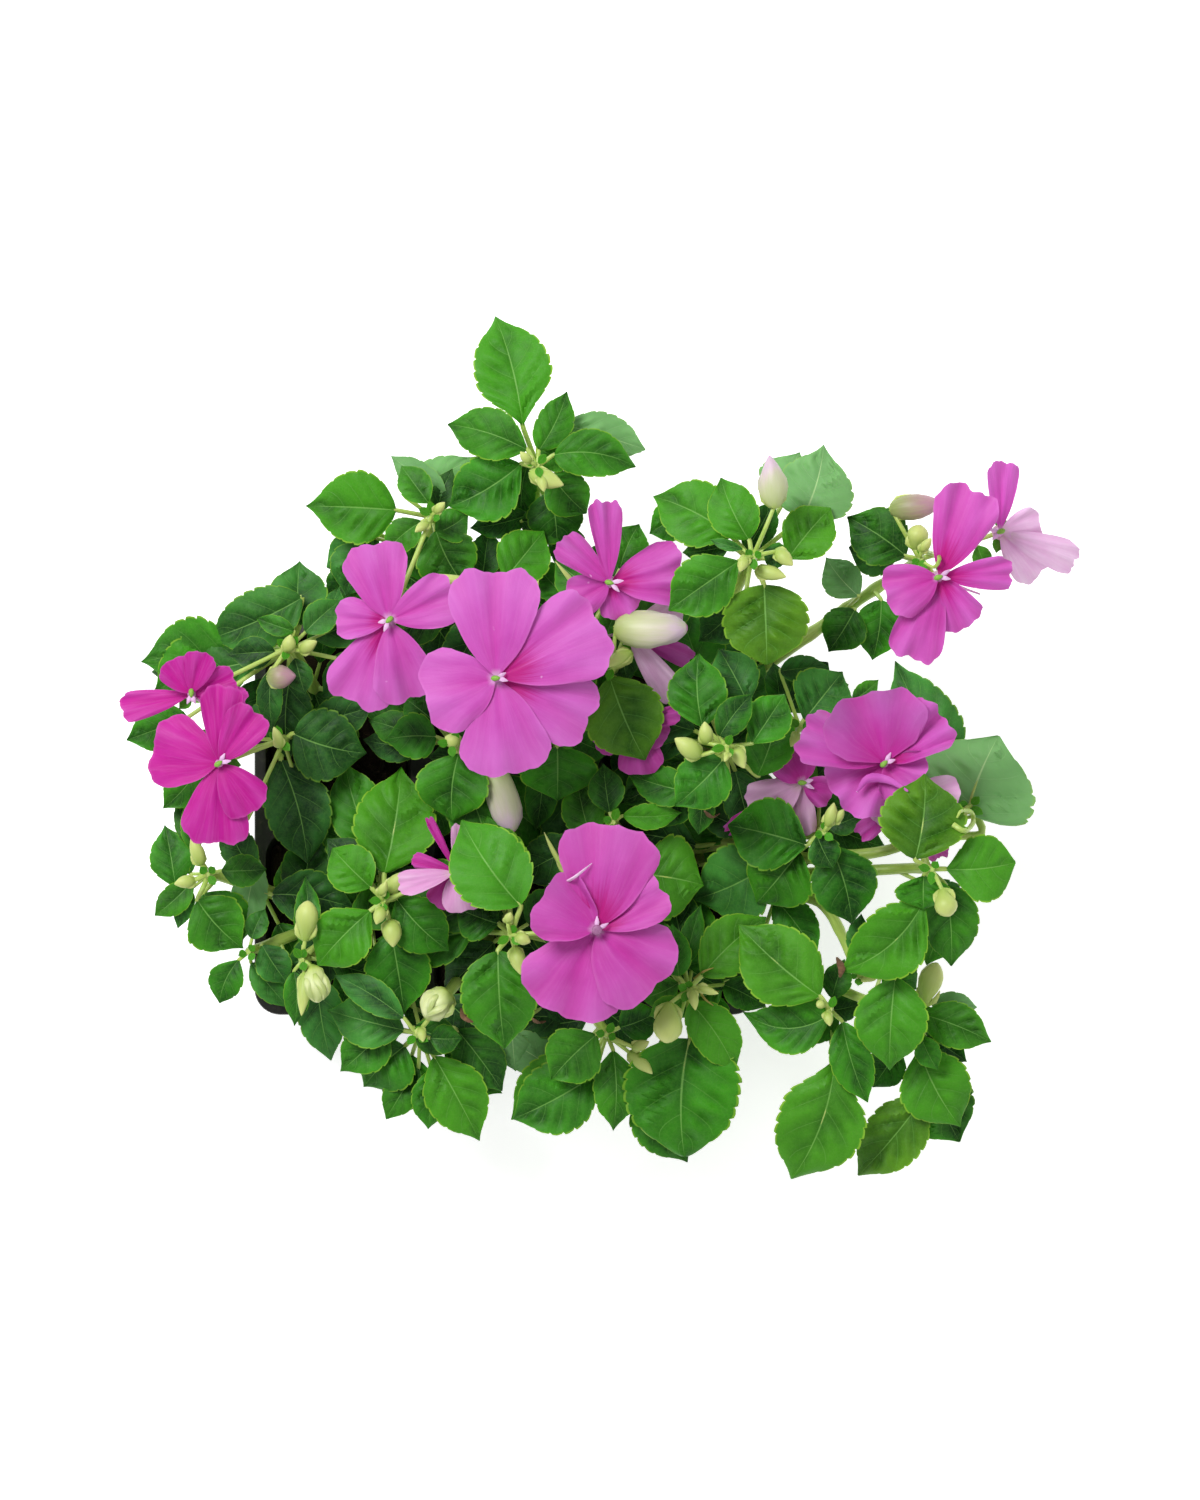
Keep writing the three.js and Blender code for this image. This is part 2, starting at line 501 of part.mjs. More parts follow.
// A point of a petal: share r of its reach, t across from -1 to 1.
function petalPoint(petal, r, t, lift) {
  const open = 0.3 + 0.7 * Math.min(1, r / 0.5);
  const angle = petal.half * t * open;
  const distance = petal.reach * r;
  const forward = distance * Math.cos(angle);
  const side = distance * Math.sin(angle);
  const z = petal.height + lift + petal.rise * r * r
    + petal.crown * petal.reach * 4 * r * (1 - r)
    + petal.ruffle * r * r * Math.sin(2 * Math.PI * (1.3 * t + petal.phase)) * Math.abs(t)
    + petal.roll * side - 0.02 * petal.reach * t * t * r;
  return [
    petal.eye[0] + petal.along[0] * forward - petal.along[1] * side,
    petal.eye[1] + petal.along[1] * forward + petal.along[0] * side,
    z,
  ];
}

function petalBody(petal, lift) {
  const at = (r, t) => petalPoint(petal, r, t, lift);
  const edge = petal.width < NARROW_PETAL ? NARROW_PETAL_EDGE : PETAL_EDGE;
  const first = at(0, 0);
  const last = at(PETAL_NOTCH, 0);
  const left = [first, ...edge.map(([r, t]) => at(r, t)), last];
  const right = [first, ...edge.map(([r, t]) => at(r, -t)), last];
  const rib = [first, at(0.6, 0), last];
  const slope = Math.hypot(1, petal.roll, petal.rise / petal.reach);
  const thick = (PETAL_THICK * 1.1) / slope;
  const drop = [petal.along[1] * petal.roll * thick, -petal.along[0] * petal.roll * thick, -thick];
  return shell([...between(right, rib, -1), ...between(left, rib, 1)],
    [...right, ...left.slice(1, -1).reverse()],
    (point) => [point[0] + drop[0], point[1] + drop[1], point[2] + drop[2]]);
}

// The throat where the petals meet, with a short spur under it.
function throatBody(bloom, lift) {
  const [x, y] = bloom.eye;
  const z = bloom.height + lift;
  const steps = [[-THROAT_DEPTH, 0.9], [-0.6, 2.5], [PETAL_STEP * bloom.petals.length, 1.5]];
  return bar(steps.map(([dz]) => [x, y, z + dz]), steps.map(([, radius]) => radius), 5);
}

// A closed bud on its stalk, which starts inside the stem at "joint".
function budBody(bud, lift, joint) {
  const [x0, y0, x1, y1, width] = bud.entry;
  const z = bud.height + lift;
  const steps = [[0, 0.4], [0.45, 1], [1, 0.25]];
  const path = [joint, ...steps.map(([s]) => [lerp(x0, x1, s), lerp(y0, y1, s), z + 2 * s])];
  const radii = [0.6, ...steps.map(([, share]) => Math.max(0.6, 0.5 * width * share))];
  return bar(path, radii, width < 5 ? 4 : 5);
}

// The stalk of a bloom: out of the stem at "joint" and upright at its end, where it stops square.
function stalkBody(joint, end) {
  return bar([joint, [end[0], end[1], end[2] - 4], end], [0.8, 0.8, 0.8], 4);
}

// ---- stems ------------------------------------------------------------------------------------

// The height at which a stem turns up to its shoot: the farther out the shoot, the higher.
function turnHeight(shoot) {
  const out = planDistance(shoot.root, shoot.tip) - NEAR_SHOOT;
  return shoot.low ?? LOW_ROUTE + OUTWARD_RISE * Math.max(0, out);
}

// The low part of a stem's route: up out of the soil, out under the leaves, and to its shoot.
function stemRoute(shoot) {
  const low = turnHeight(shoot);
  const [rx, ry] = shoot.root;
  const [tx, ty] = shoot.tip;
  const collar = [rx, ry, STEM.collar];
  const stops = [collar, ...(shoot.via ?? []).map(([x, y]) => [x, y, low - 4]), [tx, ty, low]];
  const curve = new THREE.CatmullRomCurve3(stops.map((stop) => new THREE.Vector3(...stop)));
  const bends = 2 * (stops.length - 1);
  const route = [[rx, ry, STEM.foot], collar];
  for (let k = 1; k <= bends; k += 1) {
    const spot = curve.getPoint(k / bends);
    const swell = 5 * Math.sin((Math.PI * k) / bends);
    route.push([spot.x, spot.y, spot.z + swell]);
  }
  return route;
}

// Where a stalk for a point at "target" leaves the stem.
function jointOn(route, used, target) {
  let best = route[route.length - 1];
  let bestDistance = Infinity;
  const stops = [...route.slice(2), [best[0], best[1], Math.max(best[2], target[2])]];
  for (let k = 0; k < stops.length - 1; k += 1) {
    for (let step = 0; step <= 12; step += 1) {
      const spot = [0, 1, 2].map((axis) => lerp(stops[k][axis], stops[k + 1][axis], step / 12));
      const fall = PETIOLE.rise * planDistance(spot, target);
      const distance = Math.hypot(planDistance(spot, target), spot[2] - (target[2] - fall));
      if (distance < bestDistance) {
        bestDistance = distance;
        best = spot;
      }
    }
  }
  const [ux, uy] = planDirection(best, target, [0, 0]);
  let z = best[2];
  while (used.some((other) => Math.abs(other - z) < JOINT_STEP)) z += 0.1;
  return [best[0] + ux * STEM.joint, best[1] + uy * STEM.joint, z];
}

// ---- heights: each piece is lifted until it is clear of what lies under it ----------------------

const ground = new Float64Array(MAP.columns * MAP.rows).fill(-1000);

// Lowest and highest height of a body over each cell of the plan.
function shadow(bodies) {
  const low = new Map();
  const high = new Map();
  for (const { points, faces } of bodies) {
    for (const [a, b, c] of faces) {
      const [ax, ay, az] = points[a];
      const [bx, by, bz] = points[b];
      const [cx, cy, cz] = points[c];
      const area = (bx - ax) * (cy - ay) - (cx - ax) * (by - ay);
      if (Math.abs(area) < 0.02) continue;
      const i0 = Math.ceil((Math.min(ax, bx, cx) - MAP.x0) / MAP.cell);
      const i1 = Math.floor((Math.max(ax, bx, cx) - MAP.x0) / MAP.cell);
      const j0 = Math.ceil((Math.min(ay, by, cy) - MAP.y0) / MAP.cell);
      const j1 = Math.floor((Math.max(ay, by, cy) - MAP.y0) / MAP.cell);
      for (let j = j0; j <= j1; j += 1) {
        for (let i = i0; i <= i1; i += 1) {
          const x = MAP.x0 + i * MAP.cell;
          const y = MAP.y0 + j * MAP.cell;
          const u = ((x - ax) * (cy - ay) - (cx - ax) * (y - ay)) / area;
          const v = ((bx - ax) * (y - ay) - (x - ax) * (by - ay)) / area;
          if (u < 0 || v < 0 || u + v > 1) continue;
          const z = az + u * (bz - az) + v * (cz - az);
          const key = j * MAP.columns + i;
          if (!(low.get(key) <= z)) low.set(key, z);
          if (!(high.get(key) >= z)) high.set(key, z);
        }
      }
    }
  }
  return { low, high };
}

function within(key, place, reach) {
  const x = MAP.x0 + (key % MAP.columns) * MAP.cell;
  const y = MAP.y0 + Math.floor(key / MAP.columns) * MAP.cell;
  return Math.hypot(x - place[0], y - place[1]) < reach;
}

// The lift that clears a piece of everything under it, its own stem near the joint left out.
function liftNeeded(low, tip, joint) {
  let lift = 0;
  for (const [key, z] of low) {
    if (within(key, tip, OWN_STEM) || within(key, joint, OWN_STEM)) continue;
    lift = Math.max(lift, ground[key] + LAYER_GAP - z);
  }
  return lift;
}

function settle(high) {
  for (const [key, z] of high) {
    for (const step of [0, 1, -1, MAP.columns, -MAP.columns]) {
      ground[key + step] = Math.max(ground[key + step], z);
    }
  }
}

// ---- pack and soil ----------------------------------------------------------------------------

function roundedRing(cx, cy, halfX, halfY, corner, steps, z) {
  const ring = [];
  for (const [sx, sy, start] of [[1, 1, 0], [-1, 1, 90], [-1, -1, 180], [1, -1, 270]]) {
    for (let k = 0; k <= steps; k += 1) {
      const angle = THREE.MathUtils.degToRad(start + (90 * k) / steps);
      ring.push([cx + sx * (halfX - corner) + corner * Math.cos(angle),
        cy + sy * (halfY - corner) + corner * Math.sin(angle), z]);
    }
  }
  return ring;
}

function cellPlaces() {
  const pitchX = (PACK.x1 - PACK.x0) / CELL.columns;
  const pitchY = (PACK.y1 - PACK.y0) / CELL.rows;
  const places = [];
  for (let row = 0; row < CELL.rows; row += 1) {
    for (let column = 0; column < CELL.columns; column += 1) {
      places.push([PACK.x0 + (column + 0.5) * pitchX, PACK.y0 + (row + 0.5) * pitchY]);
    }
  }
  return { places, halfX: pitchX / 2 - CELL.rib / 2, halfY: pitchY / 2 - CELL.rib / 2 };
}

// A tapered cell between two heights, made smaller all round by "inset".
function cellBody([x, y], halfX, halfY, inset, low, high) {
  const ring = (z) => {
    const taper = CELL.draft * (1 - z / PACK.rimTop) + inset;
    return roundedRing(x, y, halfX - taper, halfY - taper, CELL.corner - inset, CELL.cornerSteps, z);
  };
  return loft([ring(low), ring(high)]);
}

// ---- joining and cutting ----------------------------------------------------------------------

const wasm = await Module();
wasm.setup();

// A solid from points and triangles; triangles with two corners on one point are left out.
function solid({ points, faces }) {
  const raw = new THREE.BufferGeometry();
  raw.setAttribute('position', new THREE.Float32BufferAttribute(points.flat(), 3));
  raw.setIndex(faces.flat());
  const merged = mergeVertices(raw, 1e-4);
  const corners = [];
  for (let i = 0; i < merged.index.count; i += 3) {
    const face = [0, 1, 2].map((k) => merged.index.getX(i + k));
    if (new Set(face).size === 3) corners.push(...face);
  }
  return new wasm.Manifold(new wasm.Mesh({
    numProp: 3,
    vertProperties: new Float32Array(merged.attributes.position.array),
    triVerts: new Uint32Array(corners),
  }));
}

const join = (bodies) => bodies.map(solid).reduce((whole, body) => whole.add(body));

// The largest connected body, without loose scraps or sealed hollows.
function main(whole) {
  const pieces = whole.decompose();
  pieces.sort((a, b) => b.volume() - a.volume());
  return pieces[0];
}

function meshOf(name, whole, material) {
  const { vertProperties, triVerts } = whole.getMesh();
  const geometry = new THREE.BufferGeometry();
  geometry.setAttribute('position', new THREE.BufferAttribute(new Float32Array(vertProperties), 3));
  geometry.setIndex(new THREE.BufferAttribute(new Uint32Array(triVerts), 1));
  geometry.computeVertexNormals();
  const mesh = new THREE.Mesh(geometry, material);
  mesh.name = name;
  return mesh;
}

const material = (color, roughness) => new THREE.MeshStandardMaterial({ color, roughness, metalness: 0 });
const MATERIALS = {
  pack: material(0x1c1b18, 0.5),
  soil: material(0x2a1d13, 0.95),
  leaf: material(0x3f8a28, 0.45),
  petal: material(0xd465c8, 0.6),
  magentaPetal: material(0xc62a9c, 0.6),
};

// ---- assembly ---------------------------------------------------------------------------------

const routes = new Map(SHOOTS.map((shoot) => [shoot.name, stemRoute(shoot)]));
for (const route of routes.values()) {
  const low = route.slice(1);
  settle(shadow([bar(low, low.map(() => STEM.baseRadius), STEM.sides)]).high);
}

const pieces = [];
SHOOTS.forEach((shoot, s) => {
  shoot.leaves.forEach((entry, k) => {
    const leaf = shapeLeaf(entry, shoot, 100 * s + k);
    pieces.push({ kind: 'leaf', shoot, leaf, order: leaf.height - 0.4 * leaf.droop });
  });
  shoot.buds.forEach((entry) => {
    const bud = { entry, height: shoot.top + entry[5] };
    pieces.push({ kind: 'bud', shoot, bud, order: bud.height });
  });
});
BLOOMS.forEach((bloom, b) => {
  const shoot = SHOOTS.find(({ name }) => name === bloom.shoot);
  const stacked = [...bloom.petals].sort((a, c) => a[3] - c[3]);
  const petals = stacked.map((entry, k) => shapePetal(entry, bloom, 5000 + b, k));
  pieces.push({ kind: 'bloom', shoot, bloom, petals, order: bloom.height });
});
pieces.sort((a, b) => a.order - b.order);

const grown = new Map();
for (const shoot of SHOOTS) grown.set(shoot.name, { top: turnHeight(shoot), used: [], bodies: [] });
const blooms = [];

function makePiece(piece, lift) {
  const route = routes.get(piece.shoot.name);
  const { used } = grown.get(piece.shoot.name);
  if (piece.kind === 'leaf') {
    const [x, y] = piece.leaf.base;
    const joint = jointOn(route, used, [x, y, piece.leaf.height + lift]);
    return { green: [leafBody(piece.leaf, lift, joint)], pink: [], joint };
  }
  if (piece.kind === 'bud') {
    const [x, y] = piece.bud.entry;
    const end = [x, y, piece.bud.height + lift];
    const joint = jointOn(route, used, end);
    return { green: [budBody(piece.bud, lift, joint)], pink: [], joint };
  }
  const [x, y] = piece.bloom.eye;
  const end = [x, y, piece.bloom.height + lift - THROAT_DEPTH - GAP];
  const joint = jointOn(route, used, end);
  const petals = piece.petals.map((petal) => petalBody(petal, lift));
  return { green: [stalkBody(joint, end)], pink: [throatBody(piece.bloom, lift), ...petals], joint };
}

for (const piece of pieces) {
  let lift = 0;
  let made = makePiece(piece, lift);
  for (let round = 0; round < LIFT_ROUNDS; round += 1) {
    const extra = liftNeeded(shadow([...made.green, ...made.pink]).low, piece.shoot.tip, made.joint);
    if (extra < 0.01) break;
    lift += extra;
    made = makePiece(piece, lift);
  }
  piece.lift = lift;
  settle(shadow([...made.green, ...made.pink]).high);
  const plant = grown.get(piece.shoot.name);
  plant.top = Math.max(plant.top, made.joint[2] + 1.5);
  plant.used.push(made.joint[2]);
  plant.bodies.push(...made.green);
  if (piece.kind === 'bloom') blooms.push({ bloom: piece.bloom, bodies: made.pink });
}

const plant = new THREE.Group();

function addPack() {
  const { places, halfX, halfY } = cellPlaces();
  const cx = (PACK.x0 + PACK.x1) / 2;
  const cy = (PACK.y0 + PACK.y1) / 2;
  const spanX = (PACK.x1 - PACK.x0) / 2;
  const spanY = (PACK.y1 - PACK.y0) / 2;
  const outline = (inset, z) => roundedRing(cx, cy, spanX - inset, spanY - inset,
    PACK.corner - inset, PACK.cornerSteps, z);
  const rimLow = PACK.rimTop - PACK.rimThick;
  let whole = solid(loft([outline(0, rimLow - PACK.lip), outline(0, PACK.rimTop)]));
  whole = whole.subtract(solid(loft([outline(1.1, rimLow - PACK.lip - 1), outline(1.1, rimLow)])));
  for (const place of places) {
    whole = whole.add(solid(cellBody(place, halfX, halfY, 0, 0, PACK.rimTop - 0.5)));
  }
  for (const place of places) {
    const hollow = cellBody(place, halfX, halfY, CELL.wall, CELL.floor, PACK.rimTop + 1);
    const drain = bar([[...place, -1], [...place, CELL.floor + 1]], [DRAIN_RADIUS, DRAIN_RADIUS], 6);
    whole = whole.subtract(solid(hollow)).subtract(solid(drain));
  }
  plant.add(meshOf('cell_pack', whole, MATERIALS.pack));

  places.forEach((place, index) => {
    const inset = CELL.wall + GAP;
    let soil = solid(soilBody(place, halfX, halfY, inset, index));
    for (const shoot of SHOOTS) {
      const [x, y] = shoot.root;
      if (Math.abs(x - place[0]) > halfX || Math.abs(y - place[1]) > halfY) continue;
      const hole = [[x, y, HOLE.floor], [x, y, SOIL.edge + 8]];
      soil = soil.subtract(solid(bar(hole, [HOLE.radius, HOLE.radius], HOLE.sides)));
    }
    plant.add(meshOf(`soil_plug_${index + 1}`, soil, MATERIALS.soil));
  });
}

// A plug of soil that fills a cell, with an uneven mound on top.
function soilBody([x, y], halfX, halfY, inset, index) {
  const ring = (z, shrink) => {
    const taper = CELL.draft * (1 - z / PACK.rimTop) + inset;
    return roundedRing(x, y, halfX - taper, halfY - taper, CELL.corner - inset, CELL.cornerSteps, z)
      .map(([px, py, pz]) => [lerp(px, x, shrink), lerp(py, y, shrink), pz]);
  };
  const shoulder = ring(SOIL.edge, 0.38)
    .map(([px, py, pz], k) => [px, py, pz + SOIL.mound * (0.4 + 0.9 * chance(7000 + index, k))]);
  return loft([ring(SOIL.bottom, 0), ring(SOIL.edge, 0), shoulder]);
}

function addPlants() {
  for (const shoot of SHOOTS) {
    const { top, bodies } = grown.get(shoot.name);
    const route = routes.get(shoot.name);
    const path = [...route, [shoot.tip[0], shoot.tip[1], top]];
    const radii = path.map((_, k) => lerp(STEM.baseRadius, STEM.tipRadius, k / (path.length - 1)));
    const whole = main(join([bar(path, radii, STEM.sides), ...bodies]));
    plant.add(meshOf(`leafy_stem_${shoot.name}`, whole, MATERIALS.leaf));
  }
  for (const { bloom, bodies } of blooms) {
    const colour = bloom.name.startsWith('west_') && bloom.eye[0] < -100 ? 'magentaPetal' : 'petal';
    plant.add(meshOf(`bloom_${bloom.name}`, main(join(bodies)), MATERIALS[colour]));
  }
}

addPack();
addPlants();

export default plant;
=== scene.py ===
"""Busy lizzie (Impatiens) bedding plants in a six-cell nursery pack: the looks.

The tables below lay the plant out in plan, in millimetres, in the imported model's own frame, and the
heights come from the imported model. Leaves, petals, buds and stems are modelled finely from them, and
each piece stands for the CAD node that it is named after.
"""

import math

import bpy
import numpy as np
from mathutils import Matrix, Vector, noise


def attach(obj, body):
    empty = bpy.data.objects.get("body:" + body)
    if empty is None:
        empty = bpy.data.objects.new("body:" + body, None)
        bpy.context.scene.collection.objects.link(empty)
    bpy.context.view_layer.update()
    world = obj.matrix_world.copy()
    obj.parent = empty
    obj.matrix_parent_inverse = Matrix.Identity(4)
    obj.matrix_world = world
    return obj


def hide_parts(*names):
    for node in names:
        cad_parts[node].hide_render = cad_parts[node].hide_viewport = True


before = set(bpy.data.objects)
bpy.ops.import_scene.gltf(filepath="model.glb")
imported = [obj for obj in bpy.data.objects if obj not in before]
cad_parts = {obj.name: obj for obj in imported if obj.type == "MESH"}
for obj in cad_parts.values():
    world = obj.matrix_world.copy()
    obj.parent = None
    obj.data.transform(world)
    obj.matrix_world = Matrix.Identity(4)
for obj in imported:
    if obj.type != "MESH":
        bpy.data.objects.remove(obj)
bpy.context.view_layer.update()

MM = 0.001                      # the tables and shapes are in millimetres, the scene in metres

# ---- the plant, in plan ---------------------------------------------------------------------------


def shoot(name, root, tip, top, shades, leaves, buds=(), small_buds=(), **rest):
    """A shoot: its root on the soil, its tip in plan and the height of its top leaves.

    shades: a letter of SHADE_TINTS for each leaf
    leaves: (base x, base y, tip x, tip y, width, tier, back); back is 1 on a blade that lies with its
        underside up, and may be left out
    buds: (base x, base y, tip x, tip y, width, height above the shoot, kind); kind 0 is yellow-green,
        1 white with pink, 2 dusky pink, 3 cream with loose petals. The small buds are only here.
    rest: low, the height at which the stem turns up, and via, points that it passes in plan
    """
    return {"name": name, "root": root, "tip": tip, "top": top, "shades": shades, "leaves": leaves,
            "buds": buds, "small_buds": small_buds, **rest}


def bloom(name, bearer, eye, height, looks, colours, petals):
    """An open flower: the shoot that bears it, its eye in plan and the height of its lowest petal.

    looks: a letter for each petal: m plain, p with a dark patch, d deep, which also stands for petals in
    shade, w with its back up
    colours: deepness, how much more near the eye (its deeper centre and painted shade in its cup), pale base
    in mm, ruffles in mm
    petals: (tip x, tip y, width, rise of the tip, sideways slope)
    """
    return {"name": name, "shoot": bearer, "eye": eye, "height": height, "looks": looks,
            "colours": colours, "petals": petals}


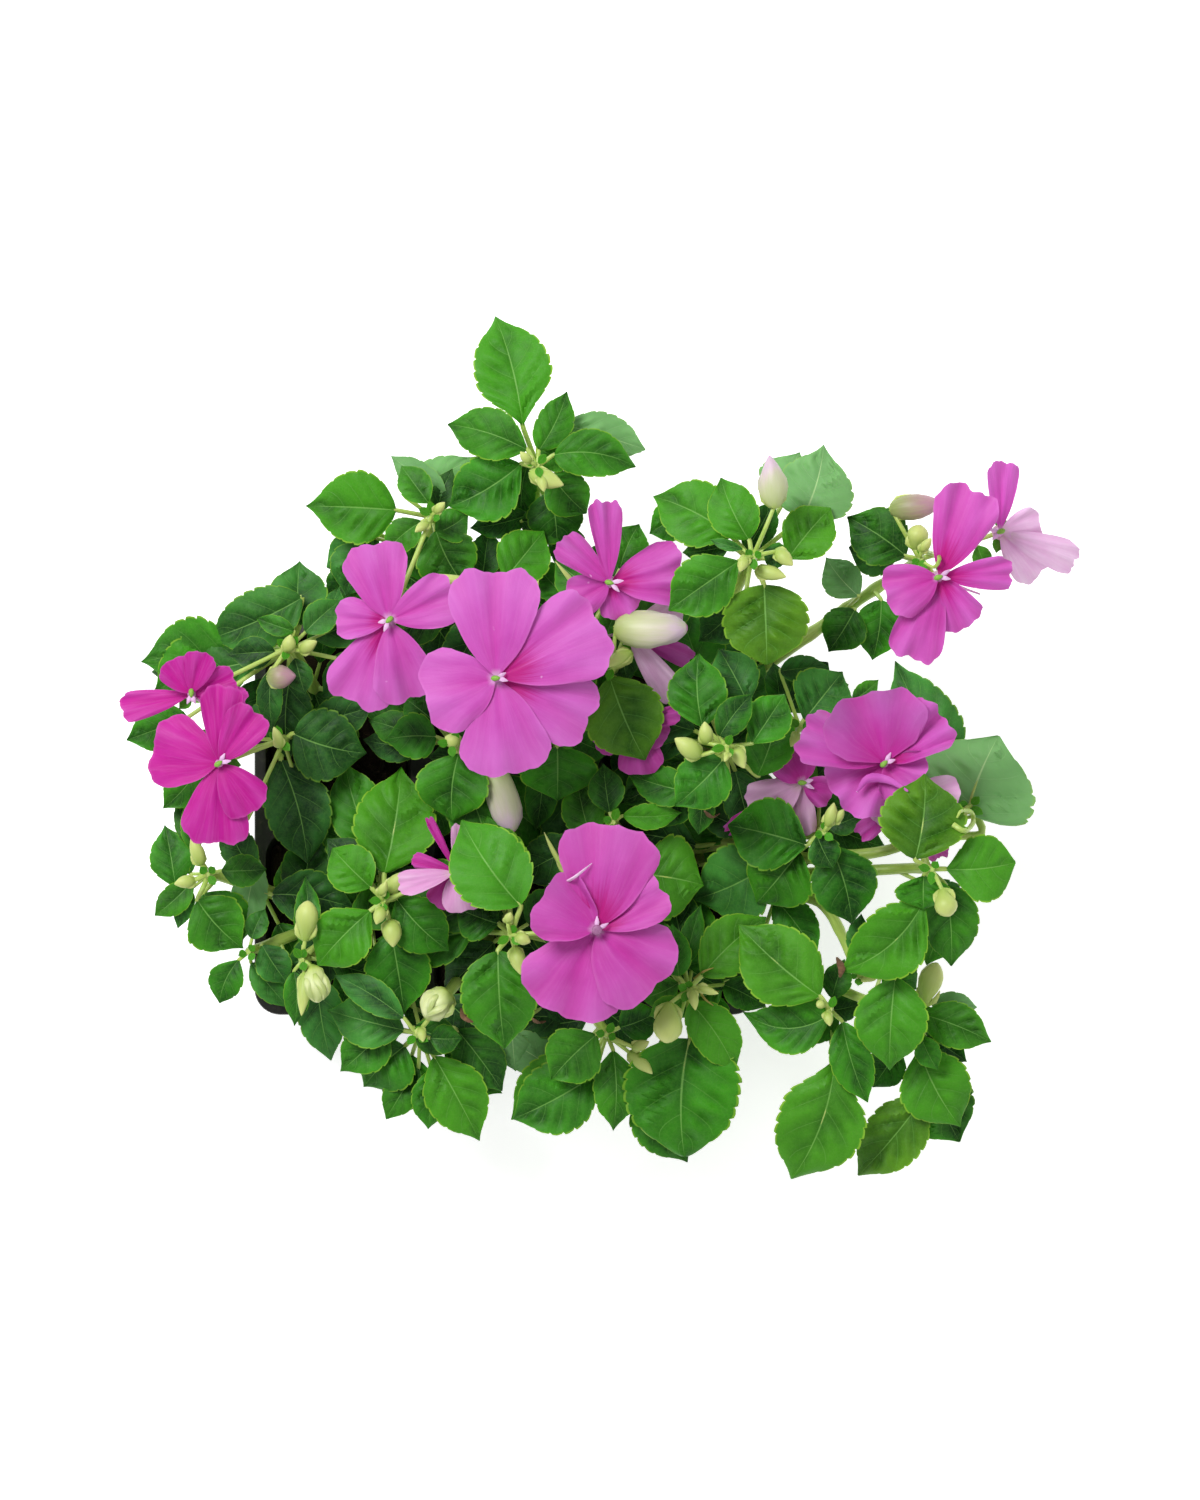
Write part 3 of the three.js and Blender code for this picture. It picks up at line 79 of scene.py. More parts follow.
SHOOTS = [
    shoot("north", (-24, 17), (-19, 86), 110, "bmmpmmmd",
          [(-23.5, 98.5, -32, 132.5, 23, 2), (-22, 91, -46.5, 99, 15.5, 1), (-18.5, 91, -10, 109, 11, 1),
           (-11, 98, 13, 91, 12, 3, 1), (-14, 89.5, 11, 86, 14.5, 1), (-24, 87, -46, 74, 20, 2),
           (-15, 84, -4, 72, 14, 2), (-15, 79, -13, 61, 17, 4)],
          buds=[(-21, 84, -11, 80, 6, 3, 0)],
          small_buds=[(-21, 87, -24, 90, 3, 2, 0), (-18, 83, -17, 78, 3.4, 1, 0)]),
    shoot("north_west", (-74, 17), (-51, 71), 106, "bmcmmc",
          [(-62, 73, -90, 74.5, 22, 2), (-52, 75, -60.5, 86.5, 10, 1), (-47, 78, -64, 90, 9, 3, 1),
           (-54, 69.5, -65.5, 60, 10, 1), (-50, 67, -41, 50, 19, 2), (-70, 65, -78, 47, 16, 4)],
          small_buds=[(-50, 72, -47, 75, 3, 1, 0), (-52, 69, -56, 66, 3, 1, 0)]),
    shoot("west_north", (-86, 15), (-95, 31), 98, "ccmkkkc",
          [(-91, 46.5, -120, 34, 18.5, 2), (-104, 28, -138, 24, 20, 3), (-93, 36, -104.5, 40, 6, 0),
           (-99, 30, -114, 29, 10, 1), (-93, 28, -90, 17, 8, 1), (-100, 25, -100, 6, 8, 2),
           (-90, 36, -79, 46, 10, 2)],
          small_buds=[(-95, 30, -94, 35, 4.4, 2, 0), (-91, 30, -86, 33, 4, 1, 0),
                      (-101, 22, -92.5, 22.5, 7.4, -3, 2)]),
    shoot("west", (-88, 5), (-97, 3), 84, "kkc",
          [(-94, 5, -71.5, -1, 22, 1), (-98, -3, -90, -35, 20, 2), (-101, 6, -115, 12, 10, 2)],
          small_buds=[(-97, 1, -99, 7, 3.2, 3, 0)]),
    shoot("south_west_top", (-89, -48), (-120, -38), 80, "mmdmc",
          [(-124, -33, -125, -13, 7, 1), (-126, -38, -133, -24, 8, 2), (-116, -37, -102, -36.5, 10, 0),
           (-123.5, -46, -109.5, -61, 19, 1), (-126, -43, -130, -55, 6, 2)],
          buds=[(-122, -35, -125, -27, 4.5, 3, 0)],
          small_buds=[(-124, -40, -130, -41, 4, 1, 0)]),
    shoot("south_west_low", (-89, -55), (-108, -62), 76, "mcc",
          [(-111, -64.5, -117, -78, 10.5, 1), (-107.5, -65.5, -96, -79.5, 9, 2),
           (-107, -58, -103, -49, 7, 1)]),
    shoot("west_centre", (-74, -49), (-66, -46), 94, "bbbmm",
          [(-70, -49, -86.5, -66, 18, 1), (-70, -42, -82, -30, 15, 2), (-66, -38, -61, -5, 25, 2),
           (-64, -55, -60, -81, 20, 3), (-62, -45.5, -46, -61.5, 17, 1)],
          buds=[(-65, -43, -59, -37, 5, -2, 0), (-64, -52, -63, -60, 6, -2, 0)],
          small_buds=[(-66, -48, -68, -53, 4, 1, 0), (-67, -44, -65, -40, 3, 2, 0)]),
    shoot("south_west", (-84, -59), (-91, -64), 84, "mmc",
          [(-91, -60, -90.5, -38.5, 8, 1), (-94, -68, -94, -85, 8, 2), (-87, -71, -83, -96, 14, 3)],
          buds=[(-90, -58, -89, -46, 7, 4, 0), (-88, -66, -86, -77, 7, 3, 3)],
          small_buds=[(-90, -68, -91, -81, 4, 1, 0)]),
    shoot("south_south_west", (-34, -58), (-56, -87), 84, "cmcmbdm",
          [(-60, -86, -84, -80, 16, 2), (-60, -91, -73, -104, 20, 3), (-60, -82, -81.5, -69, 10, 1),
           (-58, -94, -61, -113, 16, 4), (-51, -94, -37, -120.5, 19, 2), (-52, -88, -42, -88, 9, 0),
           (-48, -92, -30, -106, 12, 3)],
          buds=[(-46, -74, -53, -82, 9, 3, 3)],
          small_buds=[(-55, -85, -54, -89, 3, 2, 0)]),
    shoot("south_centre", (-29, -50), (-27, -56), 106, "mdbd",
          [(-31, -61, -29, -91, 23, 1), (-31, -53, -44, -48, 15, 3), (-24, -47, -42, -21, 24, 1),
           (-22, -53, -12, -43, 11, 2)],
          buds=[(-26, -60, -24, -68, 5, 0, 0)],
          small_buds=[(-25, -56, -21, -58, 4, 2, 0), (-28, -52, -27, -49, 3, 2, 0)]),
    shoot("south", (-22, -57), (2, -87), 84, "mbmdkp",
          [(-1, -87, -15, -101, 18, 0), (-3, -95, -27.5, -114, 19, 2), (4, -92, 4, -117, 14, 1),
           (6, -85, 18, -80, 12, 1), (-4, -83, -21, -86, 14, 3), (-12, -99, -31, -90, 9, 3, 1)],
          small_buds=[(9, -92.5, 16, -99, 4.4, -4, 0), (10, -91, 15, -89, 3.5, 0, 0)]),
    shoot("south_east_centre", (21, -60), (27, -73), 94, "bmdmbmbdm",
          [(27.5, -77, 41.5, -98, 14.5, 1), (27.5, -88, 26, -125, 35, 2), (20, -99, 25, -125, 19, 3),
           (24, -71, 12, -76, 11, 1), (25, -76, 15, -81, 8, 0), (24, -69, 22, -53, 9, 1),
           (31, -69, 51, -51, 17, 1), (38, -72, 51, -79, 10, 3), (26, -66, 31, -47, 7, 2)],
          buds=[(21, -77, 20, -89, 9, 0, 0)],
          small_buds=[(28, -73, 29, -79, 3, 3, 0), (30, -72, 36, -74, 2.6, 2, 0)]),
    shoot("south_east", (29, -61), (70, -79), 92, "bmbmd",
          [(67, -75, 42, -53, 24, 0), (70, -81, 43.5, -80, 16, 1), (71.7, -95, 58.7, -132, 26.5, 2),
           (74, -83, 82, -108, 13, 1), (71, -76, 75, -64, 9, 2)],
          small_buds=[(69, -80, 70, -84, 3, 2, 0), (68, -77, 66, -78, 3, 2, 0)]),
    shoot("east_south", (33, -47), (79, -69), 94, "bc",
          [(90, -69, 88.5, -98, 22, 1), (77, -62, 80, -50, 7, 2)],
          small_buds=[(80, -69, 84, -70, 3, 2, 0)], via=[(66, -45), (74, -56)]),
    shoot("far_south_east", (33, -54), (97, -82), 80, "mmboc",
          [(99, -81, 120, -89.5, 14, 0), (98, -87, 103.5, -98, 8, 0), (98, -92, 111, -116, 22, 1),
           (101, -104.5, 79.5, -131.5, 18.5, 2), (101, -77, 116, -79, 9, 1, 1)],
          buds=[(99, -78, 103, -65, 7.5, 4, 0)], via=[(74.5, -74)]),
    shoot("east", (33, -40), (100, -36), 118, "obmmb",
          [(95, -33, 98, -7, 26, 1), (104.5, -36, 126, -34, 20, 1), (98, -38, 98, -48.5, 17, 2),
           (105, -41, 107, -66, 17, 3), (98, -46, 72.5, -67.5, 21, 2)],
          buds=[(103, -42, 105, -50, 7, 2, 0)]),
    shoot("far_east", (29, -34), (113, -17), 92, "pc",
          [(112, -19.5, 122, 4.5, 38, 1, 1), (107, -2, 90.5, 27.5, 20, 2)],
          small_buds=[(111, -18, 108, -24, 3, 3, 0)], via=[(84, -32), (103, -26), (118, -26)]),
    shoot("east_centre", (22, -31), (68, -25), 98, "ddmmc",
          [(70, -29, 77, -53.5, 20, 1), (66, -26, 71, -36, 10, 0), (63, -29, 39, -23, 22, 2),
           (61, -31, 48, -47, 22, 3), (52, -35, 29, -46, 24, 4)],
          small_buds=[(69, -23, 71, -16, 4, 1, 0), (71, -22, 74, -18, 3, 0, 0)]),
    shoot("centre_east", (27, 1), (38, 1), 118, "mdmmcmd",
          [(31, 7, 30, 29.5, 18, 1), (36, 4, 46, 17, 10, 0), (46, 2, 56, 17, 14, 1),
           (37, -3, 22.5, -17, 17, 0), (45, 14, 36, 31, 15, 3), (30, -13, 8, -7, 12, 4),
           (31, -12, 30, -26, 8, 4)],
          buds=[(32, 2, 31.5, 8.5, 4.5, 4, 0), (30, -2, 22.5, 3.5, 6, 4, 0), (41, 1, 43.5, -5.5, 4.5, 3, 0)],
          small_buds=[(38.5, -1, 37.5, -3.5, 1.8, 3, 0)]),
    shoot("north_east", (26, 18), (46, 58), 122, "bbmodpbdck",
          [(40, 64.5, 16, 77, 20, 2), (45, 63.5, 36.5, 82.5, 15, 1), (42, 57, 20.5, 42, 18, 1),
           (49.5, 50, 50.5, 25.6, 25.5, 1), (49, 60, 57, 57, 8, 0), (61.5, 70.5, 68, 93, 24, 3, 1),
           (57, 58, 70, 73.5, 16, 2), (39, 62, 25, 60, 9, 3), (43, 60.5, 33, 63.5, 3.4, 0),
           (44, 46, 30, 33, 15, 4)],
          buds=[(52.5, 73, 51, 88.5, 8.5, 1, 1), (47, 54, 56, 52, 4.6, 1, 0), (53, 60, 58, 55.5, 4.6, 1, 0)],
          small_buds=[(44, 58, 42, 53.5, 3.4, 2, 0)]),
    shoot("far_north_east", (32, 13), (97, 58), 106, "dcdmm",
          [(93, 59, 75, 71, 18, 1), (79, 47, 69, 59, 12, 3, 1), (78, 43, 70, 30, 14, 4),
           (86, 46, 83.5, 27.5, 15, 4), (115, 62, 119, 54, 6, 2)],
          buds=[(95, 61, 97, 68, 6.5, 3, 0), (88, 73, 104, 75, 8, 1, 2)],
          small_buds=[(97, 60, 100, 64, 3, 2, 0)], low=74, via=[(58, 31), (78, 45)]),
    shoot("east_north", (33, 6), (61, 7), 100, "ccmmd",
          [(62, 9, 74, 24, 20, 1), (55, 24, 70, 25.5, 8, 2), (67, 18, 76, 20, 8, 2), (77, 15, 85, 21.5, 6, 2),
           (55, 13, 53, 27, 8, 3)],
          small_buds=[(60, 5, 58, 1, 3, 1, 0)]),
    shoot("south_of_centre", (16, -43), (4, -22), 98, "dbmb",
          [(3, -19, 1, -4, 11, 1), (7, -20, 25, -19, 8, 1), (-3, -26, -7, -9, 13, 2),
           (12, -38, 32, -41.5, 26, 3)],
          small_buds=[(-10, -38, -17, -25, 1.6, 2, 0)]),
    shoot("centre", (14, 13), (4, 25), 110, "o",
          [(3, 22, 13.8, -3.2, 24, 1)],
          buds=[(4.5, 37, 26.5, 37, 11, -5, 1), (9.5, 29.5, 0.5, 25, 5.5, -7, 0)],
          small_buds=[(9, 29.5, 0.5, 25, 4, 6, 0)]),
    shoot("north_centre", (18, 20), (2, 46), 104, "mmm",
          [(6, 55, 12, 69, 13, 2), (-2, 49, -14, 58, 14, 2), (5, 42, 2, 35, 8, 2)],
          small_buds=[(-3, 44, -13.5, 57, 1.8, 2, 0)]),
    shoot("under_centre", (-34, 15), (-32, 48), 98, "bd",
          [(-29, 52, -17, 67, 17, 2), (-38, 46, -48, 38, 12, 3)],
          small_buds=[(-36, 50, -50, 53, 3.5, 0, 0), (-20, 47, -18.5, 51, 1.8, 6, 0)]),
    shoot("centre_west", (-37, 6), (-45, 2), 98, "mmd",
          [(-43, -1, -45, -22, 22, 1), (-50, 4, -66, 3, 14, 2), (-50, 8, -60, 16, 12, 3)],
          buds=[(-43, 2, -47, 4, 5, 3, 0), (-33, -5, -26.5, -25, 10, -11, 1)]),
    shoot("below_centre", (-22, 4), (-12, 3), 92, "mmd",
          [(-13, 1, -13, -15.5, 24, 1), (-9, 4, 3, -1, 10, 2), (-18, -4, -20, -25, 10, 3)]),
]
BLOOMS = [
    bloom("west_upper", "west_north", (-123.5, 17), 106, "ddddd", (0.9, 0.2, 0.5, 0.7),
          [(-145, 12.5, 9.5, -1, 0.2), (-130, 27, 11, 4, 0.1), (-120, 29.5, 10, 5, 0),
           (-110.5, 22, 10, 2, 0.2), (-107, 14.5, 9, 0, -0.2)]),
    bloom("west_lower", "west", (-115, -4), 111, "ddddd", (0.95, 0.2, 0.7, 0.8),
          [(-135.5, 1.5, 22, -2, 0), (-114, 19.5, 13, 3, 0), (-104, 12, 14, 3, 0.1), (-117, -28.5, 20, -3, 0),
           (-104.5, -18.5, 15, -1, 0)]),
    bloom("north_west", "north_west", (-63.5, 39), 122, "mmmpp", (0.2, 0.6, 2.4, 0.8),
          [(-69, 62, 19, 3, 0), (-43.5, 47, 17, 3, 0), (-57, 15, 19, -2, 0), (-79.5, 40, 13, -1, 0),
           (-74.5, 14, 21, -3, 0)]),
    bloom("centre", "under_centre", (-31, 21.5), 134, "mppmm", (0.1, 0.7, 2.6, 0.7),
          [(-32, 54, 27, 3, 0), (0.5, 38, 27, 2, 0), (-2.5, 9.5, 22, -2.5, 0), (-27.5, -7.5, 26, -2, 0),
           (-53, 16, 25, -1, 0)]),
    bloom("north", "north_centre", (3, 50.5), 112, "mpmmp", (0.3, 0.9, 1.2, 1.3),
          [(1, 75, 11, 6, 0.1), (25.5, 54.5, 19, 1, 0), (-12, 63, 11, 4, 0.4), (-9, 45, 13, 1, 0),
           (8, 40.5, 13, -1, 0)]),
    bloom("south_centre", "south_centre", (-1, -54), 124, "pmmmp", (0.4, 0.6, 2.4, 0.9),
          [(4, -22.5, 29, 4, 0), (-17.5, -43, 22, 6, 0.3), (-13, -79.5, 30, -3, 0), (18, -71, 28, -2, 0),
           (18.5, -41, 18, 3, -0.2)]),
    bloom("east", "east_north", (86, -4), 108, "mmmpm", (0.2, 2.4, 0.5, 2.2),
          [(80, 17.5, 30, 12, 0), (60.5, 5, 18, 7, 0.3), (72, -15.5, 21, 2, 0), (103, 11, 19, 11, 0),
           (97, -11, 18, 4, 0)]),
    bloom("east_behind", "east", (94, -14), 94, "wwdm", (0.5, 0.3, 2.0, 1.2),
          [(109, -17, 17, 4, 0.3), (82, -19, 12, 0, 0), (79, -26, 7, -4, 0.3), (104, -33, 8, -5, 0.4)]),
    bloom("east_low", "east_centre", (62, -10), 82, "dwdwm", (0.6, 0.3, 2.0, 1.8),
          [(57, 1, 15, 2, 0), (46, -19, 15, -2, 0), (39, -25, 6, -4, 0.4), (60, -26, 12, -6, 0.2),
           (71, -14, 10, -2, 0)]),
    bloom("far_north_east", "far_north_east", (102, 52), 120, "pmmpp", (0.34, 1.2, 1.8, 1.3),
          [(112.4, 78.5, 19, 4, 0), (86, 46, 17, 1, 0), (93.5, 27.5, 17, -2, 0), (110.5, 37, 15, -2, 0.3),
           (124, 53.5, 10.5, 0, 0.3)]),
    bloom("far_north_east_back", "far_north_east", (121, 66), 108, "mwww", (0.2, 0.2, 2.0, 0.8),
          [(122, 87, 10, 5, 0.4), (144.5, 57.5, 10.5, -6, 0.5), (134, 53.5, 14, -8, 0.2),
           (133.5, 69, 11, -3, 0.4)]),
    bloom("west_centre", "west_centre", (-43.5, -37), 93, "wwwddd", (0.8, 0.3, 2.0, 0.8),
          [(-61, -41, 8, 1, 0.3), (-40, -49, 14, -3, 0.1), (-42, -22.5, 6, 3, 0.3), (-52, -20.5, 3, 5, 0),
           (-57, -33, 5, -2, 0), (-50, -47.5, 9, -6, 0)]),
    bloom("centre_back", "centre", (8, 36), 100, "wwm", (0.4, 0.3, 2.0, 0.6),
          [(22.5, 16, 9.5, -5, 0.3), (24.5, 43.5, 9, -4, 0.2), (28, 27.5, 7, -8, 0.3)]),
    bloom("centre_hidden", "centre", (11, 8), 96, "mmmm", (0.55, 0.3, 2.0, 0.6),
          [(13, -7.5, 14, -3, 0), (-1.5, 1.5, 10, -2, 0), (20.5, 4, 10, -2, 0), (24, 11, 6, 0, 0)]),
]

# ---- sizes that the shapes share ------------------------------------------------------------------

TIER_STEP = 6                   # fall in height from one tier of leaves to the next
LOW_ROUTE = 62                  # height at which the stem of a near shoot turns up to it
NEAR_SHOOT = 20                 # distance in plan from its root up to which a shoot is near
OUTWARD_RISE = 0.2              # how much higher, for each millimetre farther out
ROUTE_ARCH = 5                  # how far a stem arches up on its low part
# The letters paint light and shade into the leaves: lightness is partly the leaf's own colour and partly
# painted shade (d and k are leaves in the shade of others), and coolness is the painted bluish grey of sheen
# and of cool shade.
SHADE_TINTS = {                 # lightness, coolness and yellowness of the leaves of a letter
    "b": (0.9, 0.0, 0.25), "m": (0.5, 0.05, 0.1), "d": (0.16, 0.1, 0.05), "c": (0.5, 0.75, 0.0),
    "k": (0.04, 0.75, 0.0), "p": (1.0, 0.75, 0.0), "o": (0.5, 0.0, 1.0)}
JOINT_STEP = 1.5                # least height between two joints of a stem
PETIOLE_RISE = 0.35             # rise of a stalk for each millimetre that it runs out
FULLNESS = 1.02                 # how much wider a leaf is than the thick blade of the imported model
LEAF_SHAPES = {                 # leaves, by number, whose form chance would not hit
    0: {"shift": 1.12, "wedge": 0.55}, 4: {"bow": 0.09}, 403: {"bow": -0.05}, 500: {"bow": -0.08},
    1101: {"taper": 0.6}, 1201: {"bow": 0.17, "shift": 0.8, "wedge": 0.0},
    1202: {"bow": 0.07, "shift": 1.15, "wedge": 0.5}, 1402: {"bow": -0.05},
    1403: {"bow": 0.02, "shift": 1.15, "wedge": 0.45}, 1501: {"shift": 1.3, "wedge": 0.45},
    1504: {"bow": 0.11}, 1600: {"taper": 0.8, "shift": 0.7, "wedge": 0.0},
    1601: {"bow": 0.04, "shift": 0.75, "wedge": 0.0}, 1903: {"taper": 0.7},
    1905: {"taper": 1.0, "shift": 0.75, "bow": -0.05, "wedge": 0.0}}
PETAL_STEP = 1.1                # height from one petal of a bloom to the next over it
PETAL_CHORD = 1.5               # twice the share of its reach at which a petal is widest
PETAL_CROWN = 0.06              # how high a petal arches, as a share of its reach
THROAT_DEPTH = 6                # how far below a bloom its stalk ends
GAP = 0.3                       # what touching parts keep between them
STEM = {"foot": 34, "collar": 49, "base_radius": 2.1, "tip_radius": 1.2, "joint": 0.5}
DUSKY_EYES = ("south_centre",)  # blooms with a dusky cap in place of the green ovary
CURLS = {                       # petals with an edge turned up: height, positive for the left edge
    ("south_centre", 1): -2.6, ("east", 1): 2.2, ("east", 3): -3.0, ("east", 4): 2.4,
    ("north", 2): 2.0, ("north", 0): 1.4, ("far_north_east", 3): 1.6}
CAMERA = {"lens": 205.9, "sensor": 36.0, "height": 2.706}
LOWER_ROUNDS = 8                # how often each place of a stem is tried for a lower leaf
LOWER_DROPS = (0, 4, 8, 12, 16)  # how far a lower leaf may hang below the place that it grows from
# Lower leaves get mostly dark letters: painted shade under the leaves above them.
LOWER_SHADES = "ddkkm"          # shades that chance gives to a lower leaf
COVER_ROUNDS = 4                # how often bare soil is gone over for a leaf to hide it
LOWEST_LEAF = 50                # height that lower leaves keep above
TIP_REACH = 0.05                # how near in plan a vertex of the model counts as a blade's tip
BUD_RISE = 2.0                  # how much higher a bud's tip is than its foot
ITEMS = {                       # where the numbers of each kind of part begin, for chance to draw on
    "eye": 900, "petal": 5000, "sepal": 9000, "bud": 20000, "small_bud": 25000, "young": 27000,
    "stalk": 30000, "clod": 40000, "hidden": 45000, "lower": 50000, "cover": 70000}

# Leaves under the others that show between them: shoot, how far below its top, shade (mostly d and k, painted
# shade under the leaves above), and then a leaf's row as in the tables, without the tier.
HIDDEN_LEAVES = [
    ("west_north", 14, "m", -126, 10, -145, 3, 14), ("west_north", 26, "k", -103, 22, -109, 2, 14),
    ("west_north", 20, "m", -110, 30, -141, 27, 22), ("west_north", 18, "c", -92, 38, -92, 58, 18),
    ("west_north", 16, "c", -84, 36, -80, 50, 7), ("west", 4, "m", -121, -3, -134, -18, 12),
    ("west", 8, "k", -108, -21, -125, -16, 12), ("south_west_top", 14, "p", -105.5, -33, -111, -60, 11, 1),
    ("south_west_top", 12, "m", -130.5, -42, -134, -23, 13),
    ("south_west_top", 9, "d", -125, -30, -130, -14, 8),
    ("south_west_top", 14, "m", -122, -44, -110, -60, 20),
    ("south_west_top", 15, "k", -106, -38, -115, -22, 11),
    ("south_west_low", 9, "c", -104, -60, -96, -72, 11), ("west_centre", 30, "c", -66, -84, -63, -90, 7, 1),
    ("north_west", 30, "c", -68, 66, -84, 56, 15), ("north_west", 12, "m", -50, 66, -40, 72, 11),
    ("north_west", 18, "d", -50, 72, -45, 86, 8), ("north", 28, "d", -24, 70, -7, 67, 12),
    ("north", 30, "d", -22, 72, -40, 68, 9), ("north", 15, "p", -11, 99, 14, 91.5, 14, 1),
    ("north_centre", 22, "m", -10, 46, -21, 58, 11), ("south_south_west", 14, "d", -44, -86, -30, -105, 15),
    ("south_south_west", 8, "d", -57, -85, -43, -92, 12),
    ("south_south_west", 14, "m", -66, -86, -80, -99, 15), ("south", 18, "c", -13, -99, -31, -88, 13, 1),
    ("south", 18, "c", -27, -86, -26, -99, 11, 1), ("south", 12, "m", -2, -100, -27, -113.5, 22),
    ("south_east_centre", 24, "m", 12, -104, 27, -127, 19), ("east_north", 22, "k", 57, 12, 70, 27, 16),
    ("centre_east", 26, "m", 48, -8, 55, 16, 15), ("south_east", 26, "m", 54, -46, 67, -64, 13),
    ("south_east", 22, "k", 70, -80, 80, -78, 8), ("east_centre", 22, "k", 70, -24, 80, -20, 8),
    ("far_north_east", 22, "k", 91, 59.5, 76, 62, 15), ("north_east", 34, "p", 56, 76, 61, 91, 18, 1),
    ("north_east", 34, "m", 28, 72, 15, 66, 12), ("north_east", 26, "d", 44, 60, 53, 76, 10),
    ("far_south_east", 16, "m", 98, -98, 111, -121, 22), ("far_south_east", 16, "d", 92, -92, 84, -104, 12),
    ("east", 38, "m", 106, -44, 100, -66, 18), ("south_south_west", 16, "k", -48, -76, -32, -90, 16),
    ("south", 20, "k", -8, -82, -30, -81, 13), ("south", 22, "k", -2, -78, 14, -92, 13),
    ("south_south_west", 20, "k", -60, -78, -46, -90, 12),
    ("south_west_top", 10, "m", -125, -40, -137, -51, 9), ("south_west_low", 14, "k", -96, -66, -86, -76, 10),
    ("south_east", 30, "d", 74, -104, 60, -126, 16), ("north_west", 24, "p", -60, 78, -38, 90, 12, 1),
    ("under_centre", 20, "d", -36, 52, -34, 68, 10), ("west_north", 22, "m", -116, 32, -137, 18, 20),
    ("north_west", 20, "d", -58, 66, -52, 50, 12), ("east_centre", 30, "d", 68, -22, 88, -30, 12),
    ("south_south_west", 22, "m", -56, -98, -66, -114, 11), ("far_south_east", 26, "d", 88, -66, 98, -74, 12),
    ("north_west", 34, "d", -74, 56, -84, 46, 11), ("north", 12, "m", -19, 92, -7, 87, 9),
    ("north", 30, "d", -22, 88, -24, 71, 9), ("east_centre", 32, "d", 60, -4, 76, -9, 12),
    ("east_centre", 30, "d", 62, -14, 77, -19, 12), ("far_south_east", 12, "d", 100, -88, 113, -96, 9),
    ("south_east", 14, "m", 73, -82, 61, -89, 10), ("north_centre", 30, "d", -27, 50, -11, 40, 13),
    ("under_centre", 26, "d", -37, 60, -26, 50, 12), ("north_west", 36, "d", -62, 55, -50, 47, 12),
    ("south_south_west", 20, "m", -52, -98, -53, -117, 12)]

# Small things on the leaves: kind of piece, its name, material, tone as that material reads it, height
# over what lies below, radii, flatness and stops in plan.
EXTRAS = [
    ("flower", "east", "petal", (0.3, 0.0, 0.0), 1.2, (0.3, 1.0, 1.5, 1.3, 0.9, 0.3), 0.6,
     [(77.6, -12.7), (81, -8.6), (87, -9), (92.8, -12.4)]),
    # A rolled edge of a petal with its pale back up; its paleness is partly a painted highlight along the
    # fold.
    ("flower", "south_centre", "petal_back", (0.7, 0.0, 0.0), 0.4, (0.15, 0.5, 0.7, 0.5, 0.15), 0.6,
     [(-15.6, -40.5), (-9, -39), (-2.4, -34)]),
    ("foliage", "far_east", "stem", (0.2, 0.0, 0.0), 0.8, (0.9, 0.8, 0.75, 0.6, 0.3), 1.0,
     [(106.5, -22.5), (110, -24.4), (113.2, -22), (112.6, -18.8), (109, -18.4), (107.6, -20.4)]),
    ("foliage", "far_north_east", "stem", (0.6, 0.1, 0.0), 0.8, (0.9, 0.7, 0.6, 0.4), 1.0,
     [(96, 62), (99, 60.5), (102, 58), (100.5, 55), (97.5, 56.4)]),
    ("foliage", "south_south_west", "dry", (0.5, 0.0, 0.0), 0.5, (0.3, 1.2, 0.9, 0.3), 0.5,
     [(-42.5, -79), (-41, -81.5), (-38.6, -82.6)]),
    ("foliage", "south", "dry", (0.8, 0.0, 0.0), 0.5, (0.3, 1.0, 0.6, 0.2), 0.5,
     [(-20.5, -81.6), (-19, -83.6), (-16.6, -83.2)]),
    ("foliage", "east_centre", "dry", (0.3, 0.0, 0.0), 0.5, (0.3, 0.9, 0.5, 0.2), 0.6,
     [(31.6, -18.4), (34, -20.4), (36.5, -19.4)]),
    ("foliage", "east_south", "dry", (0.6, 0.0, 0.0), 0.5, (0.4, 1.3, 1.1, 0.4), 0.6,
     [(72.5, -63.5), (73.4, -66), (73, -69)]),
    ("foliage", "south_east_centre", "dry", (0.9, 1.0, 0.0), 0.6, (0.5, 0.4, 0.3, 0.12), 1.0,
     [(30, -71), (33, -73.5), (36.4, -74)]),
    ("foliage", "south_east_centre", "dry", (0.4, 1.0, 0.0), 0.6, (0.5, 0.4, 0.3, 0.12), 1.0,
     [(30, -72), (31.6, -75.5), (34.6, -78)]),
    ("foliage", "south_east_centre", "dry", (0.2, 1.0, 0.0), 0.6, (0.5, 0.4, 0.3, 0.12), 1.0,
     [(29, -70), (31.5, -67.6), (34.6, -66.4)])]

# ---- helpers --------------------------------------------------------------------------------------


def chance(item, use):
    """A number from 0 to 1 that depends only on the item and on what it is used for."""
    bits = (item * 374761393 + use * 668265263) & 0xFFFFFFFF
    bits = ((bits ^ (bits >> 13)) * 1274126177) & 0xFFFFFFFF
    return (bits ^ (bits >> 16)) / 4294967296


def lerp(a, b, t):
    return a + (b - a) * t


def wave(turns):
    return np.sin(2 * math.pi * turns)


def smoothstep(low, high, x):
    """From 0 at low to 1 at high, with soft ends; low may be the greater of the two."""
    t = np.clip((x - low) / (high - low), 0.0, 1.0)
    return t * t * (3 - 2 * t)


def plan_distance(a, b):
    return math.hypot(a[0] - b[0], a[1] - b[1])


def steps_along(path):
    """How far along a path each of its points lies."""
    return np.concatenate([[0], np.cumsum(np.linalg.norm(np.diff(path, axis=0), axis=1))])


def nearest(path, place):
    return path[np.argmin(np.linalg.norm(path - place, axis=1))]


